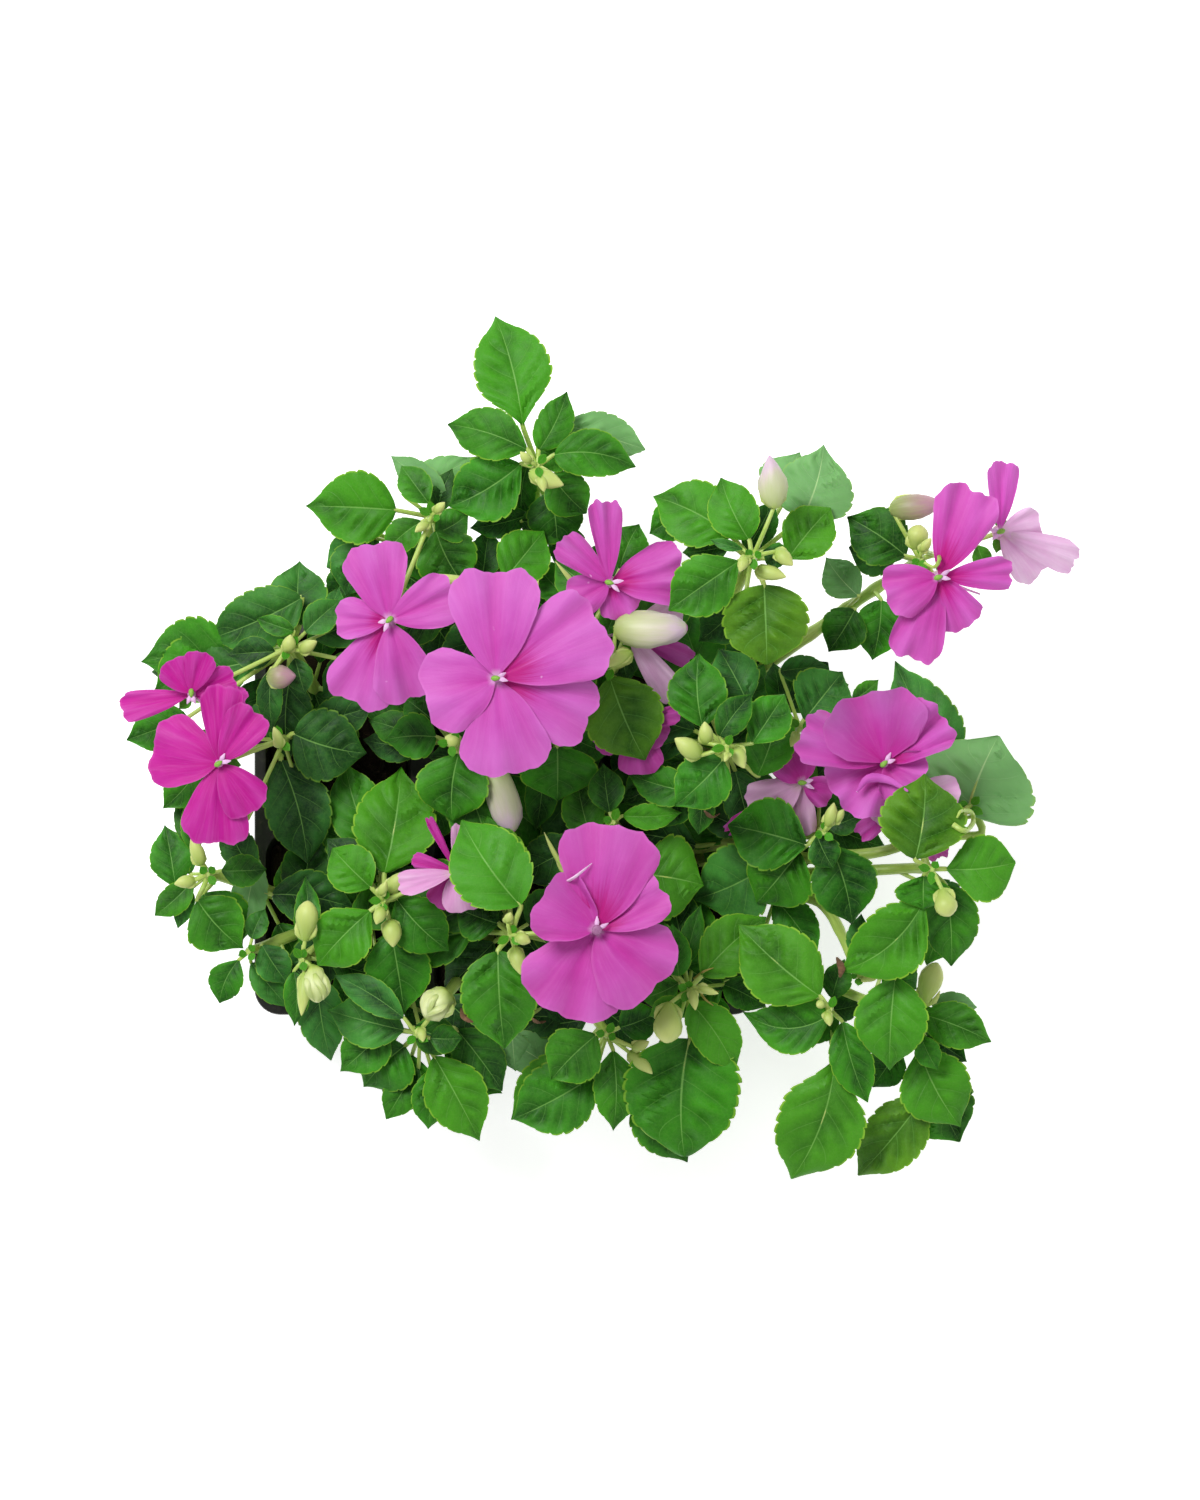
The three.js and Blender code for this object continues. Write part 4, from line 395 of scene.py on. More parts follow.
def plan_direction(a, b, fallback):
    """The direction in plan from a to b, or "fallback" where they are too close to give one."""
    length = plan_distance(a, b)
    return fallback if length < 0.5 else ((b[0] - a[0]) / length, (b[1] - a[1]) / length)


def node_points(node):
    """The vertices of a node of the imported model, in millimetres."""
    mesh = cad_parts[node].data
    points = np.zeros(len(mesh.vertices) * 3)
    mesh.vertices.foreach_get("co", points)
    return points.reshape(-1, 3) / MM


def height_at(points, x, y, reach=TIP_REACH):
    """The highest of the points that lie within reach of a place in plan, or None."""
    near = np.hypot(points[:, 0] - x, points[:, 1] - y) < reach
    return points[near, 2].max() if near.any() else None


# ---- meshes ---------------------------------------------------------------------------------------


class Piece:
    """One object of the scene, gathered part by part, in millimetres."""

    def __init__(self, name):
        self.name = name
        self.materials = []
        self.points, self.uvs, self.tones = [], [], []
        self.faces, self.slots = [], []
        self.count = 0

    def add(self, points, faces, uv, tone, material):
        """faces: arrays of corners, one array for each number of corners; tone: four shares that the
        materials read, one row for the part or one for each point."""
        points = np.asarray(points, float).reshape(-1, 3)
        if material not in self.materials:
            self.materials.append(material)
        slot = self.materials.index(material)
        self.points.append(points)
        self.uvs.append(np.broadcast_to(np.asarray(uv, float), (len(points), 2)))
        self.tones.append(np.broadcast_to(np.asarray(tone, float), (len(points), 4)))
        for group in faces:
            self.faces.append(np.asarray(group, int) + self.count)
            self.slots.append(slot)
        self.count += len(points)

    def build(self, sharp=50):
        mesh = bpy.data.meshes.new(self.name)
        points = np.concatenate(self.points) * MM
        loops = np.concatenate([group.ravel() for group in self.faces])
        sizes = np.concatenate([np.full(len(group), group.shape[1]) for group in self.faces])
        slots = np.repeat(self.slots, [len(group) for group in self.faces])
        mesh.vertices.add(len(points))
        mesh.vertices.foreach_set("co", points.ravel())
        mesh.loops.add(len(loops))
        mesh.loops.foreach_set("vertex_index", loops)
        mesh.polygons.add(len(sizes))
        mesh.polygons.foreach_set("loop_start", np.concatenate([[0], np.cumsum(sizes)[:-1]]))
        mesh.polygons.foreach_set("material_index", slots)
        mesh.update(calc_edges=True)
        mesh.uv_layers.new(name="UVMap").uv.foreach_set("vector", np.concatenate(self.uvs)[loops].ravel())
        tone = mesh.attributes.new("tone", "FLOAT_COLOR", "POINT")
        tone.data.foreach_set("color", np.concatenate(self.tones).ravel())
        for material in self.materials:
            mesh.materials.append(MATERIALS[material])
        mesh.validate()
        mesh.shade_smooth()
        mesh.set_sharp_from_angle(angle=math.radians(sharp))
        piece = bpy.data.objects.new(self.name, mesh)
        bpy.context.scene.collection.objects.link(piece)
        return piece


def grid_faces(rows, columns, wrap=False):
    """Quads of a grid of points; with wrap the last column joins the first."""
    i = np.arange(rows - 1)[:, None]
    j = np.arange(columns if wrap else columns - 1)[None, :]
    after = (j + 1) % columns
    corners = [i * columns + j, (i + 1) * columns + j, (i + 1) * columns + after, i * columns + after]
    return np.stack([corner.ravel() for corner in corners], 1)


def tube_faces(rings, sides):
    """The faces of a closed tube: its wall and its two ends."""
    end = np.arange(sides)[None, :]
    return [grid_faces(rings, sides, wrap=True)[:, ::-1], end[:, ::-1], end + (rings - 1) * sides]


def tube_uv(rings, sides):
    """Round the tube in u and along it in v."""
    u, v = np.meshgrid(np.arange(sides) / sides, np.arange(rings) / max(1, rings - 1))
    return np.stack([u, v], -1).reshape(-1, 2)


def blade_faces(rows, columns):
    """The faces of a thin blade: upper grid, lower grid and the wall round them. Both grids are cut
    along the same diagonals, so that the lower one never comes through the upper one."""
    count = rows * columns
    grid = grid_faces(rows, columns)
    upper = np.concatenate([grid[:, :3], grid[:, [0, 2, 3]]])
    lower = upper[:, ::-1] + count
    place = np.arange(count).reshape(rows, columns)
    loop = np.concatenate([place[:-1, 0], place[-1, :-1], place[:0:-1, -1], place[0, :0:-1]])
    after = np.roll(loop, -1)
    wall = np.stack([loop, loop + count, after + count, after], 1)
    return upper, lower, wall


def tube(path, radii, sides, flat=1.0):
    """Points and faces of a round bar along a path; flat below 1 makes it lower than it is wide."""
    path = np.asarray(path, float)
    radii = np.broadcast_to(np.asarray(radii, float), len(path))
    along = np.gradient(path, axis=0)
    along /= np.maximum(np.linalg.norm(along, axis=1, keepdims=True), 1e-9)
    across = np.array([1.0, 0, 0]) if abs(along[0][0]) < 0.9 else np.array([0, 1.0, 0])
    angle = np.arange(sides) * 2 * math.pi / sides
    rings = []
    for spot, direction, radius in zip(path, along, radii):
        up = np.cross(direction, across)
        up /= np.linalg.norm(up)
        across = np.cross(up, direction)
        ring = np.outer(np.cos(angle), across) + flat * np.outer(np.sin(angle), up)
        rings.append(spot + radius * ring)
    return np.concatenate(rings), tube_faces(len(path), sides)


def smooth_path(stops, steps):
    """A Catmull-Rom line through the stops, with so many steps from each to the next."""
    stops = np.asarray(stops, float)
    before = np.vstack([2 * stops[0] - stops[1], stops[:-1]])
    after = np.vstack([stops[1:], 2 * stops[-1] - stops[-2]])
    line = []
    for k in range(len(stops) - 1):
        p0, p1, p2, p3 = before[k], stops[k], stops[k + 1], after[k + 1]
        for t in np.arange(steps) / steps:
            line.append(0.5 * (2 * p1 + (p2 - p0) * t + (2 * p0 - 5 * p1 + 4 * p2 - p3) * t * t
                               + (3 * p1 - p0 - 3 * p2 + p3) * t ** 3))
    line.append(stops[-1])
    return np.array(line)


def add_tube(piece, path, radii, sides, tone, material, flat=1.0):
    points, faces = tube(path, radii, sides, flat)
    piece.add(points, faces, tube_uv(len(path), sides), tone, material)


def add_rod(piece, stops, radii, tone, material, steps=4, sides=7, flat=1.0):
    """A round or flattened rod along a smooth line, its radius given at even shares of its length."""
    path = smooth_path(stops, steps)
    place = np.linspace(0, 1, len(path))
    add_tube(piece, path, np.interp(place, np.linspace(0, 1, len(radii)), radii), sides, tone, material, flat)


def add_lathe(piece, centre, axis, profile, sides, tone, material):
    """A round body along an axis: profile gives (distance along it, radius)."""
    axis = np.asarray(axis, float) / np.linalg.norm(axis)
    path = [np.asarray(centre, float) + axis * along for along, _ in profile]
    add_tube(piece, path, [radius for _, radius in profile], sides, tone, material)


def blade_uv(s, t):
    """Across a blade in u and along it in v, for its upper face and then its lower one."""
    uv = np.stack(np.broadcast_arrays(0.5 + 0.5 * t, s), -1).reshape(-1, 2)
    return np.concatenate([uv, uv])


def add_blade(piece, s, t, upper, lower, tone, materials):
    """Both faces of a blade over the grid of s and t, with the wall round them in the first material."""
    top, bottom, wall = blade_faces(s.size, t.size)
    points, uv, count = np.concatenate([upper, lower]), blade_uv(s, t), len(upper)
    piece.add(points, [top, wall], uv, tone, materials[0])
    piece.add(points[count:], [bottom - count], uv[count:], tone[count:], materials[1])


# ---- materials ------------------------------------------------------------------------------------


def srgb(red, green, blue):
    """A colour given as 0-255 sRGB, as the linear values that a shader takes."""
    linear = [c / 12.92 if c <= 0.04045 else ((c + 0.055) / 1.055) ** 2.4
              for c in (red / 255, green / 255, blue / 255)]
    return (*linear, 1.0)


class Shader:
    """A node material, written as short formulas."""

    def __init__(self, name, roughness, specular=0.5, subsurface=0.0, radius=(0.0, 0.0, 0.0)):
        self.material = bpy.data.materials.new(name)
        self.material.use_nodes = True
        self.tree = self.material.node_tree
        self.bsdf = self.tree.nodes["Principled BSDF"]
        self.bsdf.inputs["Roughness"].default_value = roughness
        self.bsdf.inputs["Specular IOR Level"].default_value = specular
        if subsurface:
            self.bsdf.inputs["Subsurface Weight"].default_value = subsurface
            self.bsdf.inputs["Subsurface Radius"].default_value = radius
            self.bsdf.inputs["Subsurface Scale"].default_value = 1.0
        self.place = self.node("ShaderNodeTexCoord").outputs["Object"]
        tone = self.node("ShaderNodeAttribute", attribute_name="tone")
        split = self.node("ShaderNodeSeparateColor")
        self.tree.links.new(tone.outputs["Color"], split.inputs[0])
        self.tone = [*split.outputs, tone.outputs["Alpha"]]
        uv = self.node("ShaderNodeSeparateXYZ")
        self.tree.links.new(self.node("ShaderNodeUVMap", uv_map="UVMap").outputs[0], uv.inputs[0])
        self.u, self.v = uv.outputs[0], uv.outputs[1]

    def node(self, kind, **settings):
        node = self.tree.nodes.new(kind)
        for key, value in settings.items():
            setattr(node, key, value)
        return node

    def feed(self, socket, value):
        if isinstance(value, bpy.types.NodeSocket):
            self.tree.links.new(value, socket)
        else:
            socket.default_value = value

    def math(self, operation, *values, clamp=False):
        node = self.node("ShaderNodeMath", operation=operation, use_clamp=clamp)
        for socket, value in zip(node.inputs, values):
            self.feed(socket, value)
        return node.outputs[0]

    def scale(self, value, factor):
        return self.math("MULTIPLY", value, factor)

    def mix(self, factor, a, b):
        """From colour a to colour b, each a socket or 0-255 sRGB values."""
        node = self.node("ShaderNodeMix", data_type="RGBA", clamp_factor=True)
        self.feed(node.inputs[0], factor)
        for socket, colour in ((node.inputs[6], a), (node.inputs[7], b)):
            self.feed(socket, srgb(*colour) if isinstance(colour, tuple) else colour)
        return node.outputs[2]

    def tint(self, colour, share, most, other):
        """The colour, mixed towards the other by a share times the most that it may take."""
        return self.mix(self.scale(share, most), colour, other)

    def step(self, value, low, high, first=0.0, last=1.0):
        """A soft step of value between low and high, from first to last."""
        node = self.node("ShaderNodeMapRange", interpolation_type="SMOOTHSTEP")
        for socket, number in zip(node.inputs, (value, low, high, first, last)):
            self.feed(socket, number)
        return node.outputs[0]

    def noise(self, scale, detail=2.0, roughness=0.5, vector=None, distortion=0.0):
        node = self.node("ShaderNodeTexNoise")
        self.feed(node.inputs["Vector"], self.place if vector is None else vector)
        node.inputs["Scale"].default_value = scale
        node.inputs["Detail"].default_value = detail
        node.inputs["Roughness"].default_value = roughness
        node.inputs["Distortion"].default_value = distortion
        return node.outputs[0]

    def cell_edges(self, scale):
        node = self.node("ShaderNodeTexVoronoi", feature="DISTANCE_TO_EDGE")
        self.feed(node.inputs["Vector"], self.place)
        node.inputs["Scale"].default_value = scale
        return node.outputs[0]

    def grain(self, across, along, third=0.0, detail=3.0, roughness=0.6, distortion=0.0, u=None):
        """Noise that is stretched along the part: how many waves it has across and along it."""
        node = self.node("ShaderNodeCombineXYZ")
        place = (self.scale(self.u if u is None else u, across), self.scale(self.v, along), third)
        for socket, value in zip(node.inputs, place):
            self.feed(socket, value)
        return self.noise(1.0, detail, roughness, node.outputs[0], distortion)

    def finish(self, colour, height=None, distance=0.0002, strength=0.6, roughness=None):
        self.feed(self.bsdf.inputs["Base Color"], colour)
        if roughness is not None:
            self.feed(self.bsdf.inputs["Roughness"], roughness)
        if height is not None:
            bump = self.node("ShaderNodeBump")
            bump.inputs["Distance"].default_value = distance
            bump.inputs["Strength"].default_value = strength
            self.feed(bump.inputs["Height"], height)
            self.tree.links.new(bump.outputs[0], self.bsdf.inputs["Normal"])
        return self.material


VEIN_PAIRS = 4.6                # side veins on a leaf, counted along its midrib
VEIN_SWEEP = 0.3                # how far a side vein runs towards the tip, as a share of the length
VEIN_BEND = 1.15                # how much it bends that way on its run out to the margin


def vein_masks(shader):
    """Shares of midrib, side veins and margin over a leaf's face."""
    across = shader.math("MULTIPLY_ADD", shader.u, 2.0, -1.0)
    side = shader.math("ABSOLUTE", across)
    sweep = shader.scale(shader.math("POWER", side, VEIN_BEND), VEIN_SWEEP)
    row = shader.scale(shader.math("SUBTRACT", shader.v, sweep), VEIN_PAIRS)
    row = shader.math("ADD", row, shader.scale(shader.math("GREATER_THAN", across, 0.0), 0.35))
    row = shader.math("ADD", row, shader.tone[0])
    off = shader.math("ABSOLUTE", shader.math("SUBTRACT", shader.math("FRACT", row), 0.5))
    veins = shader.step(off, 0.468, 0.5)
    veins = shader.scale(veins, shader.step(side, 0.5, 0.92, 1.0, 0.0))
    width = shader.math("MULTIPLY_ADD", shader.v, -0.022, 0.034)
    midrib = shader.step(shader.math("DIVIDE", side, width), 0.4, 1.0, 1.0, 0.0)
    margin = shader.step(side, 0.945, 0.975)
    return midrib, veins, margin, side, off


def leaf_material():
    """The upper face of a leaf. Tone: chance, lightness with painted shade, coolness as a painted bluish-grey
    sheen, and yellowness.
    """
    shader = Shader("leaf", 0.42, 0.2, 0.08, (0.0005, 0.001, 0.0002))
    midrib, veins, margin, side, off = vein_masks(shader)
    blotch = shader.noise(120, 3.0, 0.5, None, 0.6)
    grain = shader.noise(900, 2.0, 0.6)
    net = shader.step(shader.cell_edges(850), 0.0, 0.12, 1.0, 0.0)
    light = shader.math("MULTIPLY_ADD", shader.math("SUBTRACT", blotch, 0.5), 0.9, shader.tone[1])
    rim = shader.scale(shader.step(side, 0.35, 1.0), 0.26)
    # Painted shade: a little darker towards the side veins, where the blade dips.
    middle = shader.scale(shader.step(off, 0.2, 0.47), -0.07)
    light = shader.math("ADD", shader.math("ADD", light, rim), middle, clamp=True)
    warm = shader.mix(light, (8, 58, 6), (56, 140, 18))
    # Coolness mixes in the painted bluish grey of sheen and of cool shade.
    sheen_and_shade_green = shader.mix(light, (18, 54, 22), (66, 136, 58))
    olive = shader.mix(light, (38, 86, 8), (88, 138, 24))
    colour = shader.mix(shader.tone[2], warm, sheen_and_shade_green)
    colour = shader.mix(shader.tone[3], colour, olive)
    colour = shader.tint(colour, shader.step(grain, 0.35, 0.75), 0.1, (96, 156, 54))
    colour = shader.tint(colour, net, 0.06, (120, 176, 78))
    colour = shader.tint(colour, veins, 0.4, (104, 164, 70))
    colour = shader.tint(colour, midrib, 0.55, (126, 180, 88))
    # The margin fades on darker leaves, with their painted shade.
    edge = shader.scale(margin, shader.math("MULTIPLY_ADD", shader.tone[1], 0.5, 0.32))
    colour = shader.mix(edge, colour, (134, 178, 48))
    height = shader.math("MULTIPLY_ADD", veins, -0.5, shader.scale(grain, 0.3))
    height = shader.math("MULTIPLY_ADD", net, -0.22, height)
    shine = shader.step(shader.noise(140, 2.0), 0.3, 0.75, 0.46, 0.62)
    return shader.finish(colour, height, 0.00025, 0.5, shine)


def leaf_back_material():
    """The underside of a leaf: pale grey-green with raised veins."""
    shader = Shader("leaf_back", 0.6, 0.3, 0.1, (0.0006, 0.0012, 0.0003))
    midrib, veins, margin, _, _ = vein_masks(shader)
    blotch = shader.noise(110, 3.0, 0.5)
    # The lightness carries the painted shade of the leaf's relief and of the leaves above it.
    light = shader.math("MULTIPLY_ADD", blotch, 0.5, shader.scale(shader.tone[1], 0.5))
    colour = shader.mix(light, (66, 116, 58), (124, 178, 108))
    colour = shader.tint(colour, veins, 0.35, (146, 188, 124))
    colour = shader.tint(colour, midrib, 0.7, (170, 204, 140))
    colour = shader.tint(colour, margin, 0.4, (140, 180, 76))
    height = shader.math("ADD", shader.scale(veins, 0.8), shader.noise(700, 2.0))
    return shader.finish(colour, height, 0.0002, 0.5)


def stem_material():
    """Stems, petioles and flower stalks. Tone: chance and redness."""
    shader = Shader("stem", 0.36, 0.45, 0.2, (0.0014, 0.0016, 0.0006))
    long_grain = shader.grain(26.0, 9.0)
    blotch = shader.noise(180, 2.0)
    colour = shader.mix(blotch, (152, 184, 78), (192, 212, 112))
    colour = shader.tint(colour, shader.step(long_grain, 0.4, 0.7), 0.3, (110, 150, 54))
    red = shader.scale(shader.tone[1], shader.step(blotch, 0.4, 0.8))
    colour = shader.mix(red, colour, (122, 84, 66))
    return shader.finish(colour, long_grain, 0.0002, 0.4)


def bud_material():
    """Closed buds. Tone: chance, kind (0 yellow-green, 0.5 dusky pink, 0.75 cream, 1 white and pink)."""
    shader = Shader("bud", 0.45, 0.4, 0.2, (0.0016, 0.0014, 0.0008))
    streak = shader.grain(34.0, 3.0)
    green = shader.mix(shader.v, (146, 176, 70), (204, 212, 130))
    fold = shader.grain(2.6, 1.2, shader.tone[0], 2.0, 0.5)
    pale = shader.mix(shader.step(shader.v, 0.0, 0.45), (164, 186, 92), (196, 200, 158))
    pale = shader.mix(shader.step(shader.v, 0.25, 0.8), pale, (206, 180, 202))
    pale = shader.tint(pale, shader.step(fold, 0.45, 0.62), 0.6, (182, 192, 142))
    pale = shader.mix(shader.step(shader.v, 0.9, 1.0), pale, (194, 106, 178))
    dusky = shader.mix(shader.step(shader.v, 0.1, 0.75), (134, 148, 84), (176, 132, 150))
    cream = shader.mix(shader.step(shader.v, 0.05, 0.5), (166, 190, 84), (212, 220, 160))
    cream = shader.tint(cream, shader.step(fold, 0.45, 0.6), 0.7, (150, 172, 84))
    colour = shader.mix(shader.step(shader.tone[1], 0.2, 0.45), green, dusky)
    colour = shader.mix(shader.step(shader.tone[1], 0.6, 0.7), colour, cream)
    colour = shader.mix(shader.step(shader.tone[1], 0.8, 0.95), colour, pale)
    colour = shader.tint(colour, shader.step(streak, 0.45, 0.7), 0.25, (168, 184, 112))
    return shader.finish(colour, streak, 0.0002, 0.5)


def petal_streaks(shader):
    """Fine streaks that fan out along a petal."""
    across = shader.math("MULTIPLY_ADD", shader.u, 2.0, -1.0)
    return shader.grain(13.0, 1.6, shader.scale(shader.tone[0], 40.0), 3.0, 0.62, 0.25, across), across


def petal_material():
    """The face of a petal. Tone: chance, share of the dark patch at its base, deepness, with painted shade of
    its folds and cup, and the share of its length that its pale base takes up."""
    shader = Shader("petal", 0.55, 0.22, 0.16, (0.0022, 0.0009, 0.0018))
    streak, across = petal_streaks(shader)
    side = shader.math("ABSOLUTE", across)
    cloud = shader.noise(110, 3.0, 0.55)
    pink = shader.mix(cloud, (178, 64, 162), (196, 94, 184))
    pink = shader.mix(shader.step(shader.v, 0.4, 0.95, 0.0, 0.3), pink, (206, 122, 200))
    deep = shader.mix(cloud, (160, 10, 116), (186, 24, 144))
    colour = shader.mix(shader.tone[2], pink, deep)
    colour = shader.tint(colour, shader.step(streak, 0.42, 0.75), 0.07, (232, 150, 222))
    colour = shader.tint(colour, shader.step(streak, 0.5, 0.25), 0.07, (186, 50, 164))
    middle = shader.scale(shader.step(side, 0.0, 0.3, 1.0, 0.0),
                         shader.step(shader.v, 0.1, 0.7, 1.0, 0.0))
    colour = shader.tint(colour, middle, 0.25, (190, 40, 160))
    edge = shader.math("MULTIPLY_ADD", streak, 0.42, shader.scale(side, 0.1))
    patch = shader.step(shader.math("ADD", shader.v, edge), 0.4, 0.74, 1.0, 0.0)
    patch = shader.scale(patch, shader.tone[1])
    colour = shader.tint(colour, patch, 0.95, (168, 6, 112))
    near = shader.math("DIVIDE", shader.v, shader.tone[3])
    pale = shader.scale(shader.step(near, 0.25, 1.3, 1.0, 0.0),
                       shader.step(shader.tone[1], 0.4, 0.9, 0.8, 0.25))
    pale = shader.scale(pale, shader.step(streak, 0.3, 0.6, 0.5, 1.0))
    colour = shader.mix(pale, colour, (226, 190, 226))
    fringe = shader.math("MAXIMUM", shader.step(side, 0.93, 1.0), shader.step(shader.v, 0.955, 1.0))
    colour = shader.tint(colour, fringe, 0.1, (226, 150, 218))
    mark = shader.scale(shader.step(shader.noise(210, 2.0, 0.4), 0.75, 0.79), 0.45)
    colour = shader.mix(mark, colour, (238, 200, 238))
    height = shader.math("MULTIPLY_ADD", shader.noise(1500, 2.0), 0.3, streak)
    return shader.finish(colour, height, 0.0002, 0.5)


def petal_back_material():
    """The back of a petal: paler, with a whitish bloom."""
    shader = Shader("petal_back", 0.6, 0.2, 0.16, (0.0022, 0.0012, 0.0018))
    streak, _ = petal_streaks(shader)
    cloud = shader.noise(150, 3.0, 0.55)
    colour = shader.mix(cloud, (220, 172, 214), (240, 214, 236))
    colour = shader.tint(colour, shader.step(streak, 0.4, 0.7), 0.25, (210, 136, 200))
    # The deepness brings painted shade of folds and cup here too.
    colour = shader.tint(colour, shader.tone[2], 0.6, (196, 92, 170))
    colour = shader.tint(colour, shader.step(shader.v, 0.0, 0.3, 1.0, 0.0), 0.4, (206, 212, 164))
    return shader.finish(colour, streak, 0.0002, 0.5)


def eye_material():
    """The middle of a bloom. Tone: chance, kind (0 green ovary, 0.5 pale filament, 1 dusky cap)."""
    shader = Shader("eye", 0.5, 0.3, 0.15, (0.001, 0.001, 0.001))
    speck = shader.noise(1800, 2.0)
    green = shader.mix(speck, (96, 158, 44), (150, 190, 84))
    pale = shader.mix(speck, (206, 150, 204), (232, 198, 230))
    dusky = shader.mix(speck, (132, 66, 118), (172, 128, 162))
    colour = shader.mix(shader.step(shader.tone[1], 0.2, 0.4), green, pale)
    colour = shader.mix(shader.step(shader.tone[1], 0.6, 0.9), colour, dusky)
    return shader.finish(colour, speck, 0.0002, 0.6)


def dry_material():
    """Withered bits. Tone: chance, kind (0 brown flake, 1 yellowish spike)."""
    shader = Shader("dry", 0.8, 0.2)
    speck = shader.noise(700, 3.0, 0.6)
    brown = shader.mix(speck, (70, 46, 32), (148, 112, 84))
    straw = shader.mix(speck, (132, 118, 52), (196, 182, 104))
    return shader.finish(shader.mix(shader.tone[1], brown, straw), speck, 0.0003, 0.8)


def plastic_material():
    """Thin black plastic: faint flow marks, scuffs and a film of dry dust."""
    shader = Shader("pack_plastic", 0.46, 0.45)
    flow = shader.noise(60, 4.0, 0.65, distortion=1.2)
    scuff = shader.step(shader.noise(1400, 3.0, 0.7), 0.62, 0.72)
    dust = shader.step(shader.noise(210, 4.0, 0.6), 0.5, 0.78)
    colour = shader.mix(flow, (22, 22, 20), (40, 39, 34))
    colour = shader.tint(colour, dust, 0.4, (92, 84, 70))
    colour = shader.tint(colour, scuff, 0.18, (120, 116, 104))
    gloss = shader.step(flow, 0.3, 0.7, 0.36, 0.58)
    return shader.finish(colour, shader.noise(900, 3.0), 0.00015, 0.35, gloss)


def soil_material():
    """Moist peat and bark compost."""
    shader = Shader("soil", 0.92, 0.2)
    clod = shader.noise(420, 4.0, 0.65)
    fibre = shader.noise(1600, 3.0, 0.7)
    colour = shader.mix(clod, (20, 14, 9), (50, 38, 26))
    colour = shader.tint(colour, shader.step(fibre, 0.58, 0.72), 0.4, (90, 70, 48))
    colour = shader.mix(shader.tone[1], colour, (196, 190, 176))
    return shader.finish(colour, shader.math("ADD", clod, fibre), 0.0006, 0.8)


def stage_material():
    """The floor: a matt white sheet that glows a little, as a light table does."""
    shader = Shader("stage", 0.9, 0.1)
    shader.bsdf.inputs["Emission Color"].default_value = (1.0, 1.0, 1.0, 1.0)
    shader.bsdf.inputs["Emission Strength"].default_value = 0.55
    tint = shader.mix(shader.noise(3.0), (250, 250, 250), (255, 255, 255))
    return shader.finish(tint)


MATERIALS = {
    "stage": stage_material(),
    "leaf": leaf_material(),
    "leaf_back": leaf_back_material(),
    "stem": stem_material(),
    "bud": bud_material(),
    "petal": petal_material(),
    "petal_back": petal_back_material(),
    "eye": eye_material(),
    "plastic": plastic_material(),
    "soil": soil_material(),
    "dry": dry_material(),
}

# ---- leaves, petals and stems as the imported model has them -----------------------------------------


def shape_leaf(entry, top, item):
    """The form of a leaf from its row in the tables and what chance gives to its number."""
    x0, y0, x1, y1, width, tier = entry[:6]
    back = len(entry) > 6 and entry[6] == 1
    length = math.hypot(x1 - x0, y1 - y0)
    return {
        "base": (x0, y0), "tip": (x1, y1), "along": ((x1 - x0) / length, (y1 - y0) / length),
        "length": length, "width": FULLNESS * width, "tier": tier, "back": back, "item": item,
        "height": top - TIER_STEP * tier, "lift": 0.0,
        "arch": 0.05 + 0.04 * chance(item, 1),
        "droop": length * (0.1 + 0.05 * tier + 0.1 * chance(item, 2)),
        "roll": 0.24 * (chance(item, 3) - 0.5),
        "fold": -0.1 if back else 0.16 + 0.1 * chance(item, 4),
        "bow": 0.11 * (chance(item, 5) - 0.5),
        "phase": chance(item, 6),
        "shift": 0.86 + 0.3 * chance(item, 7),
        "taper": 0.8 + 0.25 * chance(item, 10),
        "wedge": 0.34 * chance(item, 9),
        **LEAF_SHAPES.get(item, {}),
    }


# Half a leaf's outline: share of its length, share of its half width.
LEAF_OUTLINE = ((0, 0), (0.03, 0.25), (0.08, 0.48), (0.15, 0.71), (0.25, 0.9), (0.35, 0.98), (0.45, 1.0),
                (0.55, 0.97), (0.65, 0.88), (0.75, 0.7), (0.83, 0.46), (0.9, 0.21), (0.95, 0.09),
                (0.98, 0.035), (1, 0))


def leaf_half(leaf, s):
    """Half the width of a leaf at a share s of its length: a full blade with a short drawn-out tip."""
    body = np.interp(s ** leaf["shift"], *zip(*LEAF_OUTLINE)) ** leaf["taper"]
    return 0.5 * leaf["width"] * body * (1 - leaf["wedge"] * smoothstep(0.4, 0.0, s))


def laid_out(foot, along, forward, side, z):
    """Points so far forward of a foot along a direction, and so far to its left."""
    (x0, y0), (ux, uy) = foot, along
    return np.stack(np.broadcast_arrays(x0 + ux * forward - uy * side, y0 + uy * forward + ux * side, z), -1)


def leaf_surface(leaf, s, t, tooth=1.0, relief=0.0):
    """Points of the upper face: s along the midrib, t across from -1 to 1."""
    half = leaf_half(leaf, s) * tooth
    side = t * half + leaf["bow"] * leaf["length"] * 4 * s * (1 - s)
    forward = leaf["length"] * s
    ripple = 0.035 * leaf["width"] * wave(1.6 * s + leaf["phase"]) * t * t
    z = (leaf["height"] + leaf["lift"] + leaf["arch"] * leaf["length"] * 4 * s * (1 - s)
         - leaf["droop"] * s ** 1.5
         + (leaf["fold"] * np.abs(t) - 0.18 * t * t + leaf["roll"] * t) * half + ripple + relief)
    return laid_out(leaf["base"], leaf["along"], forward, side, z)


